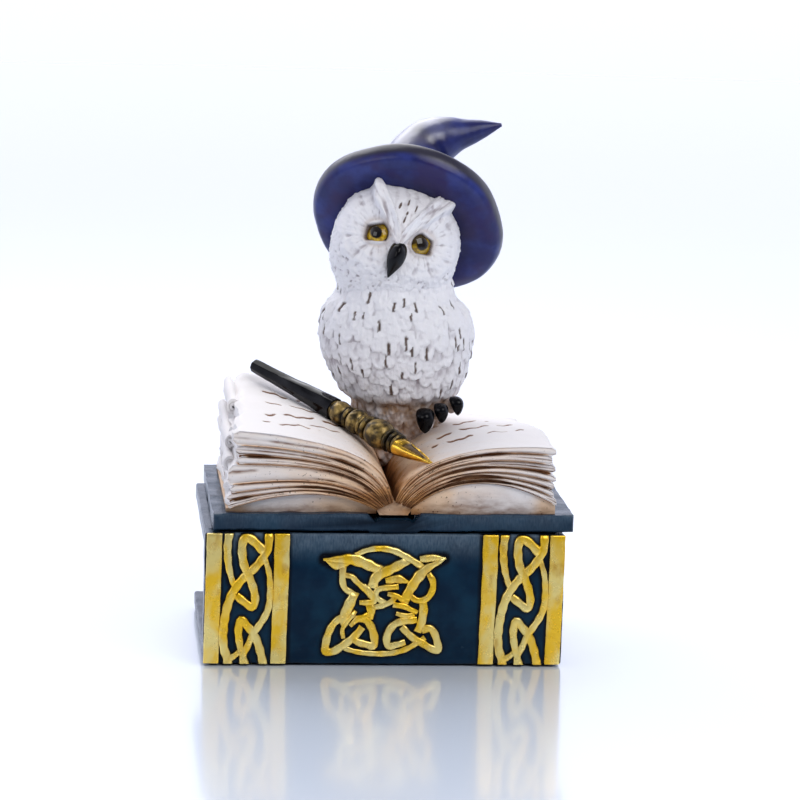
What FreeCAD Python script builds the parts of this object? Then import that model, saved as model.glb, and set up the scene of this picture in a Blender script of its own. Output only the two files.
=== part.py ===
"""Owl-on-books keepsake box, a hand-painted resin figurine.

A closed book lies flat and is the box: its page block is hollow. An open book is the lid. A snowy owl
in a wizard's hat stands on the open pages, with a dip pen across them.
Frame: millimetres, +Z up, -Y is the front, where the closed book shows its spine. The origin is the
centre of the felt under the closed book. Left is -X and right is +X. The lid lifts off along +Z.
"""

import FreeCAD
import Part
import math
import os

from FreeCAD import Vector

# Closed book, the box
book_length = 112.5  # X, along the spine
book_depth = 80.0  # Y, from the spine to the fore edge
book_height = 41.5  # Z, from the lower board's underside to the upper board's top
felt_thickness = 0.8
felt_inset = 3.0
board_thickness = 5.0
spine_thickness = 8.0
spine_bulge = 1.0  # how far the middle of the spine stands out past its top and bottom edges
page_inset = 3.0  # the boards overhang the page block by this much
cavity_wall = 8.0  # page wall left around the hollow
edge_round = 0.8

# Gilt relief on the spine
band_width = 4.8
panel_width = 16.2  # knot panel between two bands
end_margin = 0.3  # from the end of the spine to the outer band
band_relief = 0.7
knot_relief = 0.9
panel_strand = 2.0
medallion_strand = 2.1
medallion_width = 38.6
medallion_margin = 3.2  # above and below the medallion on the spine

# Open book, the lid
lid_shift = 2.5  # the open book sits this far to the right of the closed one
cover_thickness = 5.2
seat_gap = 0.9  # shadow gap between the two books, made by the seat plate
seat_inset = 5.0
plug_depth = 4.0
plug_clearance = 0.5
hinge_half_width = 6.0  # from the middle of the open cover to the bottom of its V groove
hinge_drop = 1.7  # how far the cover's spine lies under its boards
groove_slope = 2.4
groove_depth = 0.8
leaf_width = 50.2  # from the gutter to the fore edge
leaf_margin = 2.0  # from the cover's front edge to the leaves
back_margin = 3.0
stack_height = 20.0  # at the fore edge
left_back_lift = 9.0  # the left pages rise towards the back
hump_half_width = 5.4  # rounded back of the sewn sections, in the gutter
hump_height = 2.6

# Owl. Its points are given from the gutter, from owl_y in depth, and from the top of the open cover.
owl_y = 12.0
owl_sections = [  # height, x, y, half width, half depth
    (14.5, 4.0, 1.0, 8.0, 7.5),
    (18.5, 4.0, 0.5, 11.5, 11.0),
    (23.0, 4.0, 0.0, 15.0, 14.0),
    (30.0, 4.1, 0.0, 20.0, 18.0),
    (38.0, 4.2, 0.0, 23.6, 20.0),
    (46.5, 4.0, 0.0, 24.9, 20.6),
    (55.0, 3.6, -0.5, 22.6, 19.6),
    (62.5, 3.4, -1.2, 18.9, 18.4),
    (70.0, 2.8, -1.8, 18.0, 17.6),
    (76.0, 2.5, -2.0, 15.0, 14.6),
]
head_centre = Vector(2.4, -2.0, 77.1)
head_radius = 20.3
head_tilt = 13.5  # degrees, the crown leans to the right
head_turn = 4.0  # degrees, the face looks this far to the left of straight ahead
eye_radius = 4.3
eye_spread = 7.9  # from the middle of the face
eye_rise = 5.4
beak_length = 10.8
beak_width = 5.8
beak_depth = 4.6
talon_length = 7.6
talon_radius = 2.1

# Hat
hat_tilt_back = 51.0  # degrees, of the brim's plane
hat_lean = 22.0
brim_radius = 31.2
brim_curl = 3.4
brim_thickness = 2.6
# The hat is made to fit the head, so these are in head radii, measured from the head's centre.
brim_centre = Vector(0.21, 0.25, 0.38)
crown_path = [  # x, y, z, radius
    (0.10, 0.37, 0.32, 0.92),
    (0.23, 0.79, 0.71, 0.71),
    (0.42, 1.03, 1.16, 0.53),
    (0.67, 1.13, 1.50, 0.38),
    (0.97, 1.13, 1.68, 0.285),
    (1.36, 1.03, 1.75, 0.19),
    (1.65, 0.98, 1.81, 0.10),
    (1.80, 0.96, 1.83, 0.035),
]

# Dip pen, lying from the gutter's front to the back left of the pages
pen_tip = Vector(12.55, 3.0, 16.3)  # from the gutter, the cover's front edge and the cover's top
pen_end = Vector(-40.7, 70.0, 34.0)
nib_length = 15.2
nib_radius = 3.0
grip_length = 31.8
barrel_radius = 2.7
barrel_end_radius = 2.1
grip_rings = [  # share of the grip's length from the nib, radius
    (0.00, 2.9),
    (0.04, 3.6),
    (0.09, 3.0),
    (0.13, 3.7),
    (0.18, 3.1),
    (0.24, 4.2),
    (0.33, 4.6),
    (0.44, 4.0),
    (0.49, 3.0),
    (0.53, 3.7),
    (0.57, 3.0),
    (0.66, 3.7),
    (0.74, 2.8),
    (0.79, 3.3),
    (0.90, 3.6),
    (1.00, 3.0),
]

book_top = felt_thickness + book_height
lid_floor = book_top + seat_gap  # underside of the open book's boards
cover_top = lid_floor + cover_thickness
gutter_x = lid_shift
gutter_z = cover_top + 1.0  # where the lowest leaf meets the sewn back
leaf_front = -book_depth / 2 + leaf_margin
leaf_back = book_depth / 2 - back_margin


def box(x0, x1, y0, y1, z0, z1):
    return Part.makeBox(x1 - x0, y1 - y0, z1 - z0, Vector(x0, y0, z0))


def rounded(solid, radius, pick):
    """The solid with a fillet on each edge whose midpoint pick accepts."""
    edges = [e for e in solid.Edges if pick(e.CenterOfMass)]
    return solid.makeFillet(radius, edges)


def prism(points, y0, y1):
    """A closed X-Z polygon run from y0 to y1."""
    ring = [Vector(x, y0, z) for x, z in points]
    face = Part.Face(Part.makePolygon(ring + ring[:1]))
    return face.extrude(Vector(0, y1 - y0, 0))


def export(name, *solids):
    shape = solids[0] if len(solids) == 1 else Part.makeCompound(list(solids))
    shape.exportStep(os.path.join("parts", name + ".step"))


# ---------------------------------------------------------------- closed book


def cavity_box(grow, z0, z1):
    """The hollow of the box, larger all round by grow."""
    side = book_length / 2 - page_inset - cavity_wall + grow
    front = -book_depth / 2 + spine_thickness - grow
    back = book_depth / 2 - page_inset - cavity_wall + grow
    return box(-side, side, front, back, z0, z1)


def spine_slab(offset, x0, x1):
    """Solid from inside the box out to the bulged face of the spine, moved out by offset."""
    foot = felt_thickness
    inner = -book_depth / 2 + spine_thickness
    outer = -book_depth / 2 - offset
    bottom = Part.makeLine(Vector(x0, inner, foot), Vector(x0, outer, foot))
    middle = Vector(x0, outer - spine_bulge, (foot + book_top) / 2)
    arc = Part.Arc(Vector(x0, outer, foot), middle, Vector(x0, outer, book_top)).toShape()
    top = Part.makeLine(Vector(x0, outer, book_top), Vector(x0, inner, book_top))
    close = Part.makeLine(Vector(x0, inner, book_top), Vector(x0, inner, foot))
    face = Part.Face(Part.Wire([bottom, arc, top, close]))
    return face.extrude(Vector(x1 - x0, 0, 0))


def closed_book_cover():
    half_x = book_length / 2
    half_y = book_depth / 2
    hollow_floor = felt_thickness + board_thickness
    lower = box(-half_x, half_x, -half_y, half_y, felt_thickness, hollow_floor)
    upper = box(-half_x, half_x, -half_y, half_y, book_top - board_thickness, book_top)
    upper = upper.cut(cavity_box(0, hollow_floor, book_top + 1))
    corners = lambda c: abs(c.y - half_y) < 0.1 or abs(abs(c.x) - half_x) < 0.1
    lower = rounded(lower, edge_round, corners)
    upper = rounded(upper, edge_round, corners)
    return spine_slab(0, -half_x, half_x).fuse([lower, upper]).removeSplitter()


def closed_book_pages():
    side = book_length / 2 - page_inset
    front = -book_depth / 2 + spine_thickness
    back = book_depth / 2 - page_inset
    low = felt_thickness + board_thickness
    high = book_top - board_thickness
    block = box(-side, side, front, back, low, high)
    inner = cavity_box(0, low - 1, high + 1)
    front_wall = box(-side, side, front, front + page_inset / 2, low, high)
    return block.cut(inner.cut(front_wall))


def base_felt():
    side = book_length / 2 - felt_inset
    half = book_depth / 2 - felt_inset
    sheet = box(-side, side, -half, half, 0, felt_thickness)
    upright = lambda c: abs(c.z - felt_thickness / 2) < 0.01
    return rounded(sheet, felt_inset, upright)


def relief(outline, height):
    """X-Z outlines run out of the spine's bulged face by height."""
    half_x = book_length / 2
    skin = spine_slab(height, -half_x, half_x).cut(spine_slab(0, -half_x, half_x))
    return outline.common(skin)


def band_starts():
    """Left edge of each gilt band, from left to right."""
    outer = -book_length / 2 + end_margin
    inner = outer + band_width + panel_width
    return [outer, inner, -inner - band_width, -outer - band_width]


def spine_band(x0):
    strip = box(x0, x0 + band_width, -book_depth, 0, felt_thickness, book_top)
    return relief(strip, band_relief)


def ribbon(points, width):
    """A strand of even width along a smooth X-Z line, run through the spine's face."""
    line = Part.BSplineCurve()
    line.interpolate([Vector(x, 0, z) for x, z in points])
    steps = 6 * (len(points) - 1)
    first, last = line.FirstParameter, line.LastParameter
    sides = ([], [])
    for i in range(steps + 1):
        u = first + (last - first) * i / steps
        across = line.tangent(u)[0].cross(Vector(0, 1, 0)) * (width / 2)
        sides[0].append(line.value(u) + across)
        sides[1].append(line.value(u) - across)
    edges = []
    for side in (sides[0], sides[1][::-1]):
        curve = Part.BSplineCurve()
        curve.interpolate(side)
        edges.append(curve.toShape())
    cap_a = Part.makeLine(sides[0][-1], sides[1][-1])
    cap_b = Part.makeLine(sides[1][0], sides[0][0])
    face = Part.Face(Part.Wire([edges[0], cap_a, edges[1], cap_b]))
    face.translate(Vector(0, -book_depth, 0))
    return face.extrude(Vector(0, book_depth, 0))


# Strands of a knot panel, in shares of its width and height from its lower left corner
panel_knot = [
    [(0.16, 1.00), (0.12, 0.84), (0.24, 0.62)],
    [(0.94, 1.00), (0.92, 0.88), (0.60, 0.72), (0.34, 0.62), (0.12, 0.46), (0.06, 0.22), (0.12, 0.04)],
    [(0.74, 0.87), (0.46, 0.98), (0.40, 0.86), (0.54, 0.66), (0.64, 0.44)],
    [(0.64, 0.44), (0.46, 0.46), (0.30, 0.56)],
    [(0.80, 0.80), (0.92, 0.66), (0.90, 0.44), (0.68, 0.26), (0.46, 0.14), (0.40, 0.00)],
    [(0.44, 0.02), (0.34, 0.20), (0.38, 0.36), (0.62, 0.26), (0.82, 0.02)],
    [(0.12, 0.04), (0.26, 0.02), (0.40, 0.10)],
]


def knot_panel(x0):
    width = panel_width
    height = book_height
    window = box(x0, x0 + width, -book_depth, 0, felt_thickness, book_top)
    strands = []
    for strand in panel_knot:
        line = [(x0 + u * width, felt_thickness + v * height) for u, v in strand]
        strands.append(ribbon(line, panel_strand))
    return relief(strands[0].fuse(strands[1:]).common(window), knot_relief)


# One quarter of the medallion's four-cornered knot, in shares of its half width and half height.
# The other three quarters are its mirror images.
corner_loop = [
    [(0.10, 0.02), (0.40, 0.30), (0.66, 0.66), (0.97, 0.90)],
    [(0.97, 0.90), (0.66, 0.92), (0.34, 0.66), (0.10, 0.40)],
    [(0.30, 0.02), (0.62, 0.22), (0.72, 0.46), (0.52, 0.60), (0.16, 0.50)],
]


def knot_medallion():
    half_w = medallion_width / 2
    half_h = book_height / 2 - medallion_margin
    centre_z = felt_thickness + book_height / 2
    strands = []
    for mirror_x in (-1, 1):
        for mirror_z in (-1, 1):
            for strand in corner_loop:
                line = [(mirror_x * u * half_w, centre_z + mirror_z * v * half_h) for u, v in strand]
                strands.append(ribbon(line, medallion_strand))
    outer = Part.makeCylinder(half_h, book_depth, Vector(0, -book_depth, centre_z), Vector(0, 1, 0))
    inner_r = half_h - medallion_strand * 0.8
    inner = Part.makeCylinder(inner_r, book_depth, Vector(0, -book_depth, centre_z), Vector(0, 1, 0))
    ring = outer.cut(inner)
    return relief(ring.fuse(strands), knot_relief)


# ---------------------------------------------------------------- open book


def open_book_cover():
    half = book_length / 2
    drop = hinge_drop
    v_at = hinge_half_width
    right_side = [
        (v_at - groove_depth * 1.6, cover_top - drop),
        (v_at, cover_top - drop - groove_depth),
        (v_at + groove_slope, cover_top),
        (half, cover_top),
        (half, lid_floor),
        (v_at + groove_slope, lid_floor),
        (v_at + groove_slope / 2, lid_floor - seat_gap * 0.8),
    ]
    left_side = [(-x, z) for x, z in reversed(right_side)]
    outline = [(gutter_x + x, z) for x, z in right_side + left_side]
    solid = prism(outline, -book_depth / 2, book_depth / 2)
    is_end = lambda c: abs(abs(c.x - gutter_x) - half) < 0.1
    solid = rounded(solid, edge_round, is_end)
    return solid


def lid_locating_plug():
    left = gutter_x - book_length / 2 + seat_inset
    right = book_length / 2 - seat_inset / 2
    half = book_depth / 2 - seat_inset
    plate = box(left, right, -half, half, book_top, lid_floor)
    plug = cavity_box(-plug_clearance, book_top - plug_depth, book_top)
    return plate.fuse(plug).removeSplitter().cut(open_book_cover())


def leaf_line(share, side, y):
    """A leaf's cross-section at y: a cubic from the sewn back to the fore edge.

    share is 0 for the lowest leaf and 1 for the highest, and side is -1 on the left and 1 on the right.
    """
    low = [(hump_half_width, 0.0), (20.0, 7.7), (36.0, 5.2), (leaf_width, 0.0)]
    top = [(0.3, hump_height), (1.5, 10.7), (16.0, stack_height + 3.2), (leaf_width, stack_height)]
    back = (y - leaf_front) / (leaf_back - leaf_front)
    lift = left_back_lift * back * share if side < 0 else 0.0
    poles = []
    for i, (a, b) in enumerate(zip(low, top)):
        x = a[0] + (b[0] - a[0]) * share
        z = a[1] + (b[1] - a[1]) * share + lift * (0, 0.1, 1, 1)[i]
        poles.append(Vector(gutter_x + side * x, y, gutter_z + z))
    return poles


def leaf_edge(share, side, y):
    curve = Part.BezierCurve()
    curve.setPoles(leaf_line(share, side, y))
    return curve.toShape()


def leaf_section(side, y):
    """Closed cross-section of one side's leaves, standing on the cover."""
    top = leaf_line(1.0, side, y)
    floor = cover_top
    fore = Vector(top[3].x, y, floor)
    root_x = gutter_x + side * (hinge_half_width + groove_slope)
    foot = Vector(root_x, y, floor)
    back = Vector(gutter_x + side * 0.3, y, gutter_z)
    lines = [top[3], fore, foot, back, top[0]]
    edges = [Part.makeLine(a, b) for a, b in zip(lines, lines[1:])]
    return Part.Wire([leaf_edge(1.0, side, y)] + edges)


def leaf_block(side):
    return Part.makeLoft([leaf_section(side, leaf_front), leaf_section(side, leaf_back)], True, True)


def sewn_back():
    """Rounded back of the sewn sections, between the two page blocks."""
    reach = hump_half_width
    foot = cover_top - hinge_drop * 0.4
    left = Vector(gutter_x - reach, leaf_front, gutter_z)
    right = Vector(gutter_x + reach, leaf_front, gutter_z)
    arc = Part.Arc(left, Vector(gutter_x, leaf_front, gutter_z + hump_height), right).toShape()
    down = [right, Vector(right.x - 1, leaf_front, foot), Vector(left.x + 1, leaf_front, foot), left]
    edges = [Part.makeLine(a, b) for a, b in zip(down, down[1:])]
    face = Part.Face(Part.Wire([arc] + edges))
    return face.extrude(Vector(0, leaf_back - leaf_front, 0))


# ---------------------------------------------------------------- pen


def pen_frame():
    """The pen's tip and its unit direction towards the far end."""
    front = -book_depth / 2
    tip = Vector(gutter_x + pen_tip.x, front + pen_tip.y, cover_top + pen_tip.z)
    end = Vector(gutter_x + pen_end.x, front + pen_end.y, cover_top + pen_end.z)
    return tip, (end - tip)


def turned(profile):
    """A solid turned about the pen's axis from (distance from the tip, radius) points."""
    tip, run = pen_frame()
    ring = [Vector(profile[0][0], 0, 0)]
    ring += [Vector(a, r, 0) for a, r in profile]
    ring += [Vector(profile[-1][0], 0, 0), ring[0]]
    face = Part.Face(Part.makePolygon(ring))
    solid = face.revolve(Vector(0, 0, 0), Vector(1, 0, 0), 360)
    solid.Placement = FreeCAD.Placement(tip, FreeCAD.Rotation(Vector(1, 0, 0), run))
    return solid


def pen_nib():
    return turned([(0, 0.35), (nib_length * 0.5, nib_radius * 0.62), (nib_length * 0.85, nib_radius),
                   (nib_length, nib_radius * 0.9)])


def pen_grip():
    return turned([(nib_length + share * grip_length, radius) for share, radius in grip_rings])


def pen_barrel():
    start = nib_length + grip_length
    length = pen_frame()[1].Length
    return turned([(start, barrel_radius), (length - 1, barrel_end_radius), (length, barrel_end_radius * 0.8)])


# ---------------------------------------------------------------- owl


def at_owl(x, y, z):
    """A point given from the gutter at the owl's depth, at the height of the cover's top."""
    return Vector(gutter_x + x, owl_y + y, cover_top + z)


def owl_form():
    wires = []
    for z, x, y, half_w, half_d in owl_sections:
        wires.append(Part.Wire(Part.Ellipse(at_owl(x, y, z), half_w, half_d).toShape()))
    head = Part.makeSphere(head_radius, at_owl(*head_centre))
    return Part.makeLoft(wires, True).fuse(head)


def face_frame():
    """Placement with its origin at the head's centre, -Y out of the face and Z up the tilted face."""
    turn = FreeCAD.Rotation(Vector(0, 1, 0), head_tilt).multiply(FreeCAD.Rotation(Vector(0, 0, 1), -head_turn))
    return FreeCAD.Placement(at_owl(*head_centre), turn)


def owl_eye(side):
    depth = math.sqrt(head_radius**2 - eye_spread**2 - eye_rise**2) - eye_radius * 0.72
    ball = Part.makeSphere(eye_radius, Vector(side * eye_spread, -depth, eye_rise))
    ball.Placement = face_frame().multiply(ball.Placement)
    return ball


def owl_beak():
    face = -head_radius + 0.8
    rings = []
    for share, width, rise in ((0.0, 0.45, -0.2), (0.3, 1.0, 0.75), (0.65, 0.72, 1.0), (1.0, 0.08, 0.72)):
        centre = Vector(0, face - rise * beak_depth / 2, -share * beak_length)
        across = max(width * beak_width / 2, 0.25)
        ring = Part.Ellipse(centre, across * 1.01, across)
        rings.append(Part.Wire(ring.toShape()))
    solid = Part.makeLoft(rings, True)
    solid.Placement = face_frame()
    return solid


def talon(x, y, yaw):
    """One claw that stands on the page at x from the gutter, tip forward and down."""
    page = page_height(x)
    rings = []
    for share, radius in ((0.0, 0.7), (0.35, 1.0), (0.7, 0.7), (1.0, 0.12)):
        bend = share * share
        centre = Vector(0, -talon_length * (share * 0.62), talon_length * (0.52 - bend * 0.62))
        circle = Part.Circle(centre, Vector(0, -1, -0.3 - share), talon_radius * radius)
        rings.append(Part.Wire(circle.toShape()))
    claw = Part.makeLoft(rings, True)
    claw.Placement = FreeCAD.Placement(Vector(gutter_x + x, owl_y + y, page + talon_radius * 0.7),
                                       FreeCAD.Rotation(Vector(0, 0, 1), yaw))
    return claw


def page_height(x):
    """Height of the top leaf at a distance x right or left of the gutter, at the front."""
    side = 1 if x >= 0 else -1
    curve = leaf_edge(1.0, side, leaf_front)
    foot = Part.makeLine(Vector(gutter_x + x, leaf_front, 0), Vector(gutter_x + x, leaf_front, book_top * 4))
    return curve.distToShape(foot)[1][0][0].z


def at_head(x, y, z):
    """A point given in head radii from the head's centre."""
    return at_owl(*(head_centre + Vector(x, y, z) * head_radius))


def wizard_hat():
    centre = at_head(*brim_centre)
    tilt = FreeCAD.Rotation(Vector(0, 1, 0), hat_lean).multiply(FreeCAD.Rotation(Vector(1, 0, 0), -hat_tilt_back))
    edge = brim_radius
    thick = brim_thickness
    outline = [(0, 0), (edge * 0.8, 0), (edge, brim_curl), (edge * 0.97, brim_curl + thick * 0.8),
               (edge * 0.78, thick), (0, thick)]
    ring = [Vector(x, 0, z) for x, z in outline]
    brim = Part.Face(Part.makePolygon(ring + ring[:1])).revolve(Vector(0, 0, 0), Vector(0, 0, 1), 360)
    brim.Placement = FreeCAD.Placement(centre, tilt)
    up = Vector(0, 0, 1)
    points = [at_head(x, y, z) for x, y, z, r in crown_path]
    rings = []
    for i, (x, y, z, radius) in enumerate(crown_path):
        ahead = points[min(i + 1, len(points) - 1)] - points[max(i - 1, 0)]
        along = tilt.multVec(up) if i == 0 else ahead
        circle = Part.Wire(Part.Circle(Vector(0, 0, 0), up, radius * head_radius).toShape())
        circle.Placement = FreeCAD.Placement(points[i], FreeCAD.Rotation(up, along))
        rings.append(circle)
    crown = Part.makeLoft(rings, True, True)
    return brim.fuse(crown)


def main():
    os.makedirs("parts", exist_ok=True)

    export("closed_book_cover", closed_book_cover())
    export("closed_book_pages", closed_book_pages())
    export("base_felt", base_felt())
    starts = band_starts()
    places = ("outer_left", "inner_left", "inner_right", "outer_right")
    for place, x0 in zip(places, starts):
        export("spine_band_" + place, spine_band(x0))
    export("knot_panel_left", knot_panel(starts[0] + band_width))
    export("knot_panel_right", knot_panel(starts[2] + band_width))
    export("knot_medallion", knot_medallion())

    pen = [pen_nib(), pen_grip(), pen_barrel()]
    eyes = [owl_eye(-1), owl_eye(1)]
    beak = owl_beak()
    form = owl_form()
    owl = form.cut(eyes + [beak])
    back = sewn_back()
    spots = {"right": ((14.3, -13.5, 18), (18.8, -11.5, 30), (22.8, -8.5, 42)),
             "left": ((1.0, -17.5, -10), (-2.5, -13.0, -25), (-6.5, -9.0, -40))}
    talons = {side: [talon(*spot) for spot in places] for side, places in spots.items()}

    export("open_book_cover", open_book_cover())
    export("lid_locating_plug", lid_locating_plug())
    export("sewn_back", back)
    blocks = {}
    for name, side in (("left", -1), ("right", 1)):
        blocks[name] = leaf_block(side).cut([back, form] + pen)
        export("leaves_" + name, blocks[name])
    export("owl_body", owl)
    export("owl_beak", beak)
    for name, eye in zip(("left", "right"), eyes):
        export("owl_eye_" + name, eye)
    for name, claws in talons.items():
        clear = [c.cut([form, blocks["left"], blocks["right"], back] + pen) for c in claws]
        export("owl_talons_" + name, *clear)
    export("wizard_hat", wizard_hat().cut([form] + eyes))
    for name, piece in zip(("nib", "grip", "barrel"), pen):
        export("pen_" + name, piece)


main()
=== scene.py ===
"""The looks of the owl-on-books keepsake box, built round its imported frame.

Shapes are worked out in millimetres and stored in metres. -Y is the front, +Z is up and +X is on the right.
Each visible piece is one or more closed shells of points on a grid, moved in and out by relief such as
feathers, leaf edges and brush marks. Numbers stored on the points tell the materials where paint has
gathered or worn.
"""

import math

import bmesh
import bpy
import numpy as np
from mathutils import Matrix, Vector


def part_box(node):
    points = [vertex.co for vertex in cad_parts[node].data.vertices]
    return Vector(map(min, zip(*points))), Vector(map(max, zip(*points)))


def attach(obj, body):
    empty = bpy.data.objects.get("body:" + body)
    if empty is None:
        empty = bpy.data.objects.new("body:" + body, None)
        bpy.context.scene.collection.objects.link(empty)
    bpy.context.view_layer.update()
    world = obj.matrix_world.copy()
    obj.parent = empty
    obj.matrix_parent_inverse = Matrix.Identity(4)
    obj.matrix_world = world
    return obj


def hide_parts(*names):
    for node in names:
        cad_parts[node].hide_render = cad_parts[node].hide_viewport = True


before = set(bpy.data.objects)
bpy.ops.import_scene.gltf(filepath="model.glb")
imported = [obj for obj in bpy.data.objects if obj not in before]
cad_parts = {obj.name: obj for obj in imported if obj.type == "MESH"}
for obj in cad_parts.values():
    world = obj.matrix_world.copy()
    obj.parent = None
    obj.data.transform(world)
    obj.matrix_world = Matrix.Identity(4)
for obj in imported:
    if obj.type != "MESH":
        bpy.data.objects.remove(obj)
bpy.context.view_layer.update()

MM = 0.001


def box_mm(node):
    low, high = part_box(node)
    return np.array(low) / MM, np.array(high) / MM


# Places taken from the frame
book_low, book_high = box_mm("closed_book_cover")
cover_low, cover_high = box_mm("open_book_cover")
gutter_x = (cover_low[0] + cover_high[0]) / 2
cover_top = cover_high[2]

# The owl's place from the gutter, in depth and over the cover, its face's lean and turn in degrees, and
# the eyes' places across and up from the middle of the face
owl_y = 12.0
head_centre = np.array([gutter_x + 2.4, owl_y - 2.0, cover_top + 77.1])
head_radius = 20.2
head_tilt = 13.5
head_turn = 4.0
eye_spread = 7.9
eye_rise = 5.4

spine_bulge = 1.0
strand_relief = 1.05
whole_turn = 2 * math.pi


# ---- numbers


def ease(x, low=0.0, high=1.0):
    """0 up to low, 1 from high on, smooth between."""
    t = np.clip((x - low) / (high - low), 0, 1)
    return t * t * (3 - 2 * t)


def hump(x, middle, width):
    """1 at the middle, falling smoothly to nearly 0 at twice the width."""
    return np.exp(-(((x - middle) / width) ** 2))


def scatter(a, b, seed):
    """Three unrelated numbers from 0 to 1 for each pair of whole numbers."""
    key = a[..., None] * 127.1 + b[..., None] * 311.7 + seed * 74.7 + np.array([0.0, 53.3, 97.9])
    return np.abs(np.sin(key) * 43758.5453) % 1.0


def lattice(points, seed):
    """Smooth noise from -1 to 1, with cells of size 1."""
    cell = np.floor(points).astype(np.int64)
    part = points - cell
    part = part * part * (3 - 2 * part)
    total = np.zeros(points.shape[:-1])
    for corner in range(8):
        step = np.array([corner & 1, corner >> 1 & 1, corner >> 2 & 1])
        key = (cell + step) @ np.array([73856093, 19349663, 83492791]) + seed * 2654435
        key = (key ^ (key >> 13)) * 1274126177
        value = ((key ^ (key >> 16)) & 65535) / 32767.5 - 1
        total += value * np.prod(np.where(step, part, 1 - part), axis=-1)
    return total


def noise(points, size, seed=0, octaves=3):
    """Smooth noise from about -1 to 1 with lumps of about the given size, and finer ones on them."""
    total = 0
    for k in range(octaves):
        total = total + lattice(points / size * 2**k, seed * 10 + k) / 2**k
    return total / 1.5


def wobble(points, size, amount, seed):
    """The points moved about unevenly by up to about amount, the same way each time."""
    return points + amount * np.stack([noise(points, size, seed + k, 2) for k in range(3)], axis=-1)


def curve_through(points, count):
    """count points, evenly spaced along a smooth curve through the given ones."""
    p = np.array(points, float)
    p = np.vstack([2 * p[0] - p[1], p, 2 * p[-1] - p[-2]])
    t = np.linspace(0, len(points) - 1 - 1e-9, 40 * len(points))
    i = t.astype(int)
    f = (t - i)[:, None]
    a, b, c, d = p[i], p[i + 1], p[i + 2], p[i + 3]
    line = b + 0.5 * f * (c - a + f * (2 * a - 5 * b + 4 * c - d + f * (3 * (b - c) + d - a)))
    walked = np.append(0, np.cumsum(np.linalg.norm(np.diff(line, axis=0), axis=1)))
    at = np.linspace(0, walked[-1], count)
    return np.column_stack([np.interp(at, walked, column) for column in line.T])


def profile(points, at):
    """Values at the given places of the smooth curve through (place, value) points."""
    return np.interp(at, *curve_through(points, 300).T)


def points_of(x, y, z):
    """Points with these coordinates, each an array or a number, stretched to one shape."""
    return np.stack(np.broadcast_arrays(x, y, z), -1)


def circle(count):
    """Angles of points spread evenly round a ring."""
    return np.linspace(0, whole_turn, count, endpoint=False)


def ball_ways(polar, around):
    """Ways out from a middle: polar is the angle from the front, around the angle from the top."""
    return points_of(np.sin(polar) * np.sin(around), -np.cos(polar), np.sin(polar) * np.cos(around))


def turned(angle, axis):
    """The axes of a frame turned by an angle in degrees."""
    return np.array(Matrix.Rotation(math.radians(angle), 3, axis))


face_axes = turned(head_tilt, "Y") @ turned(-head_turn, "Z")  # columns: right, into the head, up


def on_face(local):
    """Points given as right, into the head and up from the head's middle."""
    return head_centre + local @ face_axes.T


# ---- shells


class Shell:
    """A closed surface: points in millimetres, faces, and named numbers stored on the points."""

    def __init__(self, points, faces, **marks):
        self.points = points.reshape(-1, 3)
        self.faces = faces
        self.marks = {name: np.ravel(values) for name, values in marks.items()}


def quads(rows, columns, join_rows=False):
    """Faces of a grid of points whose rows are rings."""
    i = np.arange(rows if join_rows else rows - 1)[:, None]
    j = np.arange(columns)[None, :]
    below, beside = (i + 1) % rows, (j + 1) % columns
    corners = (i * columns + j, i * columns + beside, below * columns + beside, below * columns + j)
    return np.stack(np.broadcast_arrays(*corners), -1).reshape(-1, 4).tolist()


def tube(rings, **marks):
    """A stack of rings, closed at both ends by a point in the middle of the end ring."""
    rows, columns = rings.shape[:2]
    last = rows * columns
    faces = quads(rows, columns)
    for j in range(columns):
        beside = (j + 1) % columns
        faces.append([last, beside, j])
        faces.append([last + 1, last - columns + j, last - columns + beside])
    ends = np.stack([rings[0].mean(axis=0), rings[-1].mean(axis=0)])
    full = {}
    for name, values in marks.items():
        values = np.broadcast_to(values, (rows, columns))
        full[name] = np.append(values.ravel(), [values[0].mean(), values[-1].mean()])
    return Shell(np.vstack([rings.reshape(-1, 3), ends]), faces, **full)


def plate(rings, **marks):
    """A stack of rings, closed at both ends by one flat face."""
    rows, columns = rings.shape[:2]
    faces = quads(rows, columns)
    faces.append(list(range(columns))[::-1])
    faces.append(list(range((rows - 1) * columns, rows * columns)))
    full = {name: np.broadcast_to(values, (rows, columns)) for name, values in marks.items()}
    return Shell(rings, faces, **full)


def hoop(rings, **marks):
    """A stack of rings whose last joins its first."""
    full = {name: np.broadcast_to(values, rings.shape[:2]) for name, values in marks.items()}
    return Shell(rings, quads(*rings.shape[:2], join_rows=True), **full)


def edge_lines(low, high, step, radius):
    """Places for grid lines from low to high, about step apart and closer together at both ends."""
    count = max(2, int((high - low - 2 * radius) / step))
    middle = np.linspace(low + radius, high - radius, count + 1)
    return np.concatenate([[low, low + radius * 0.35], middle, [high - radius * 0.35, high]])


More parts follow.
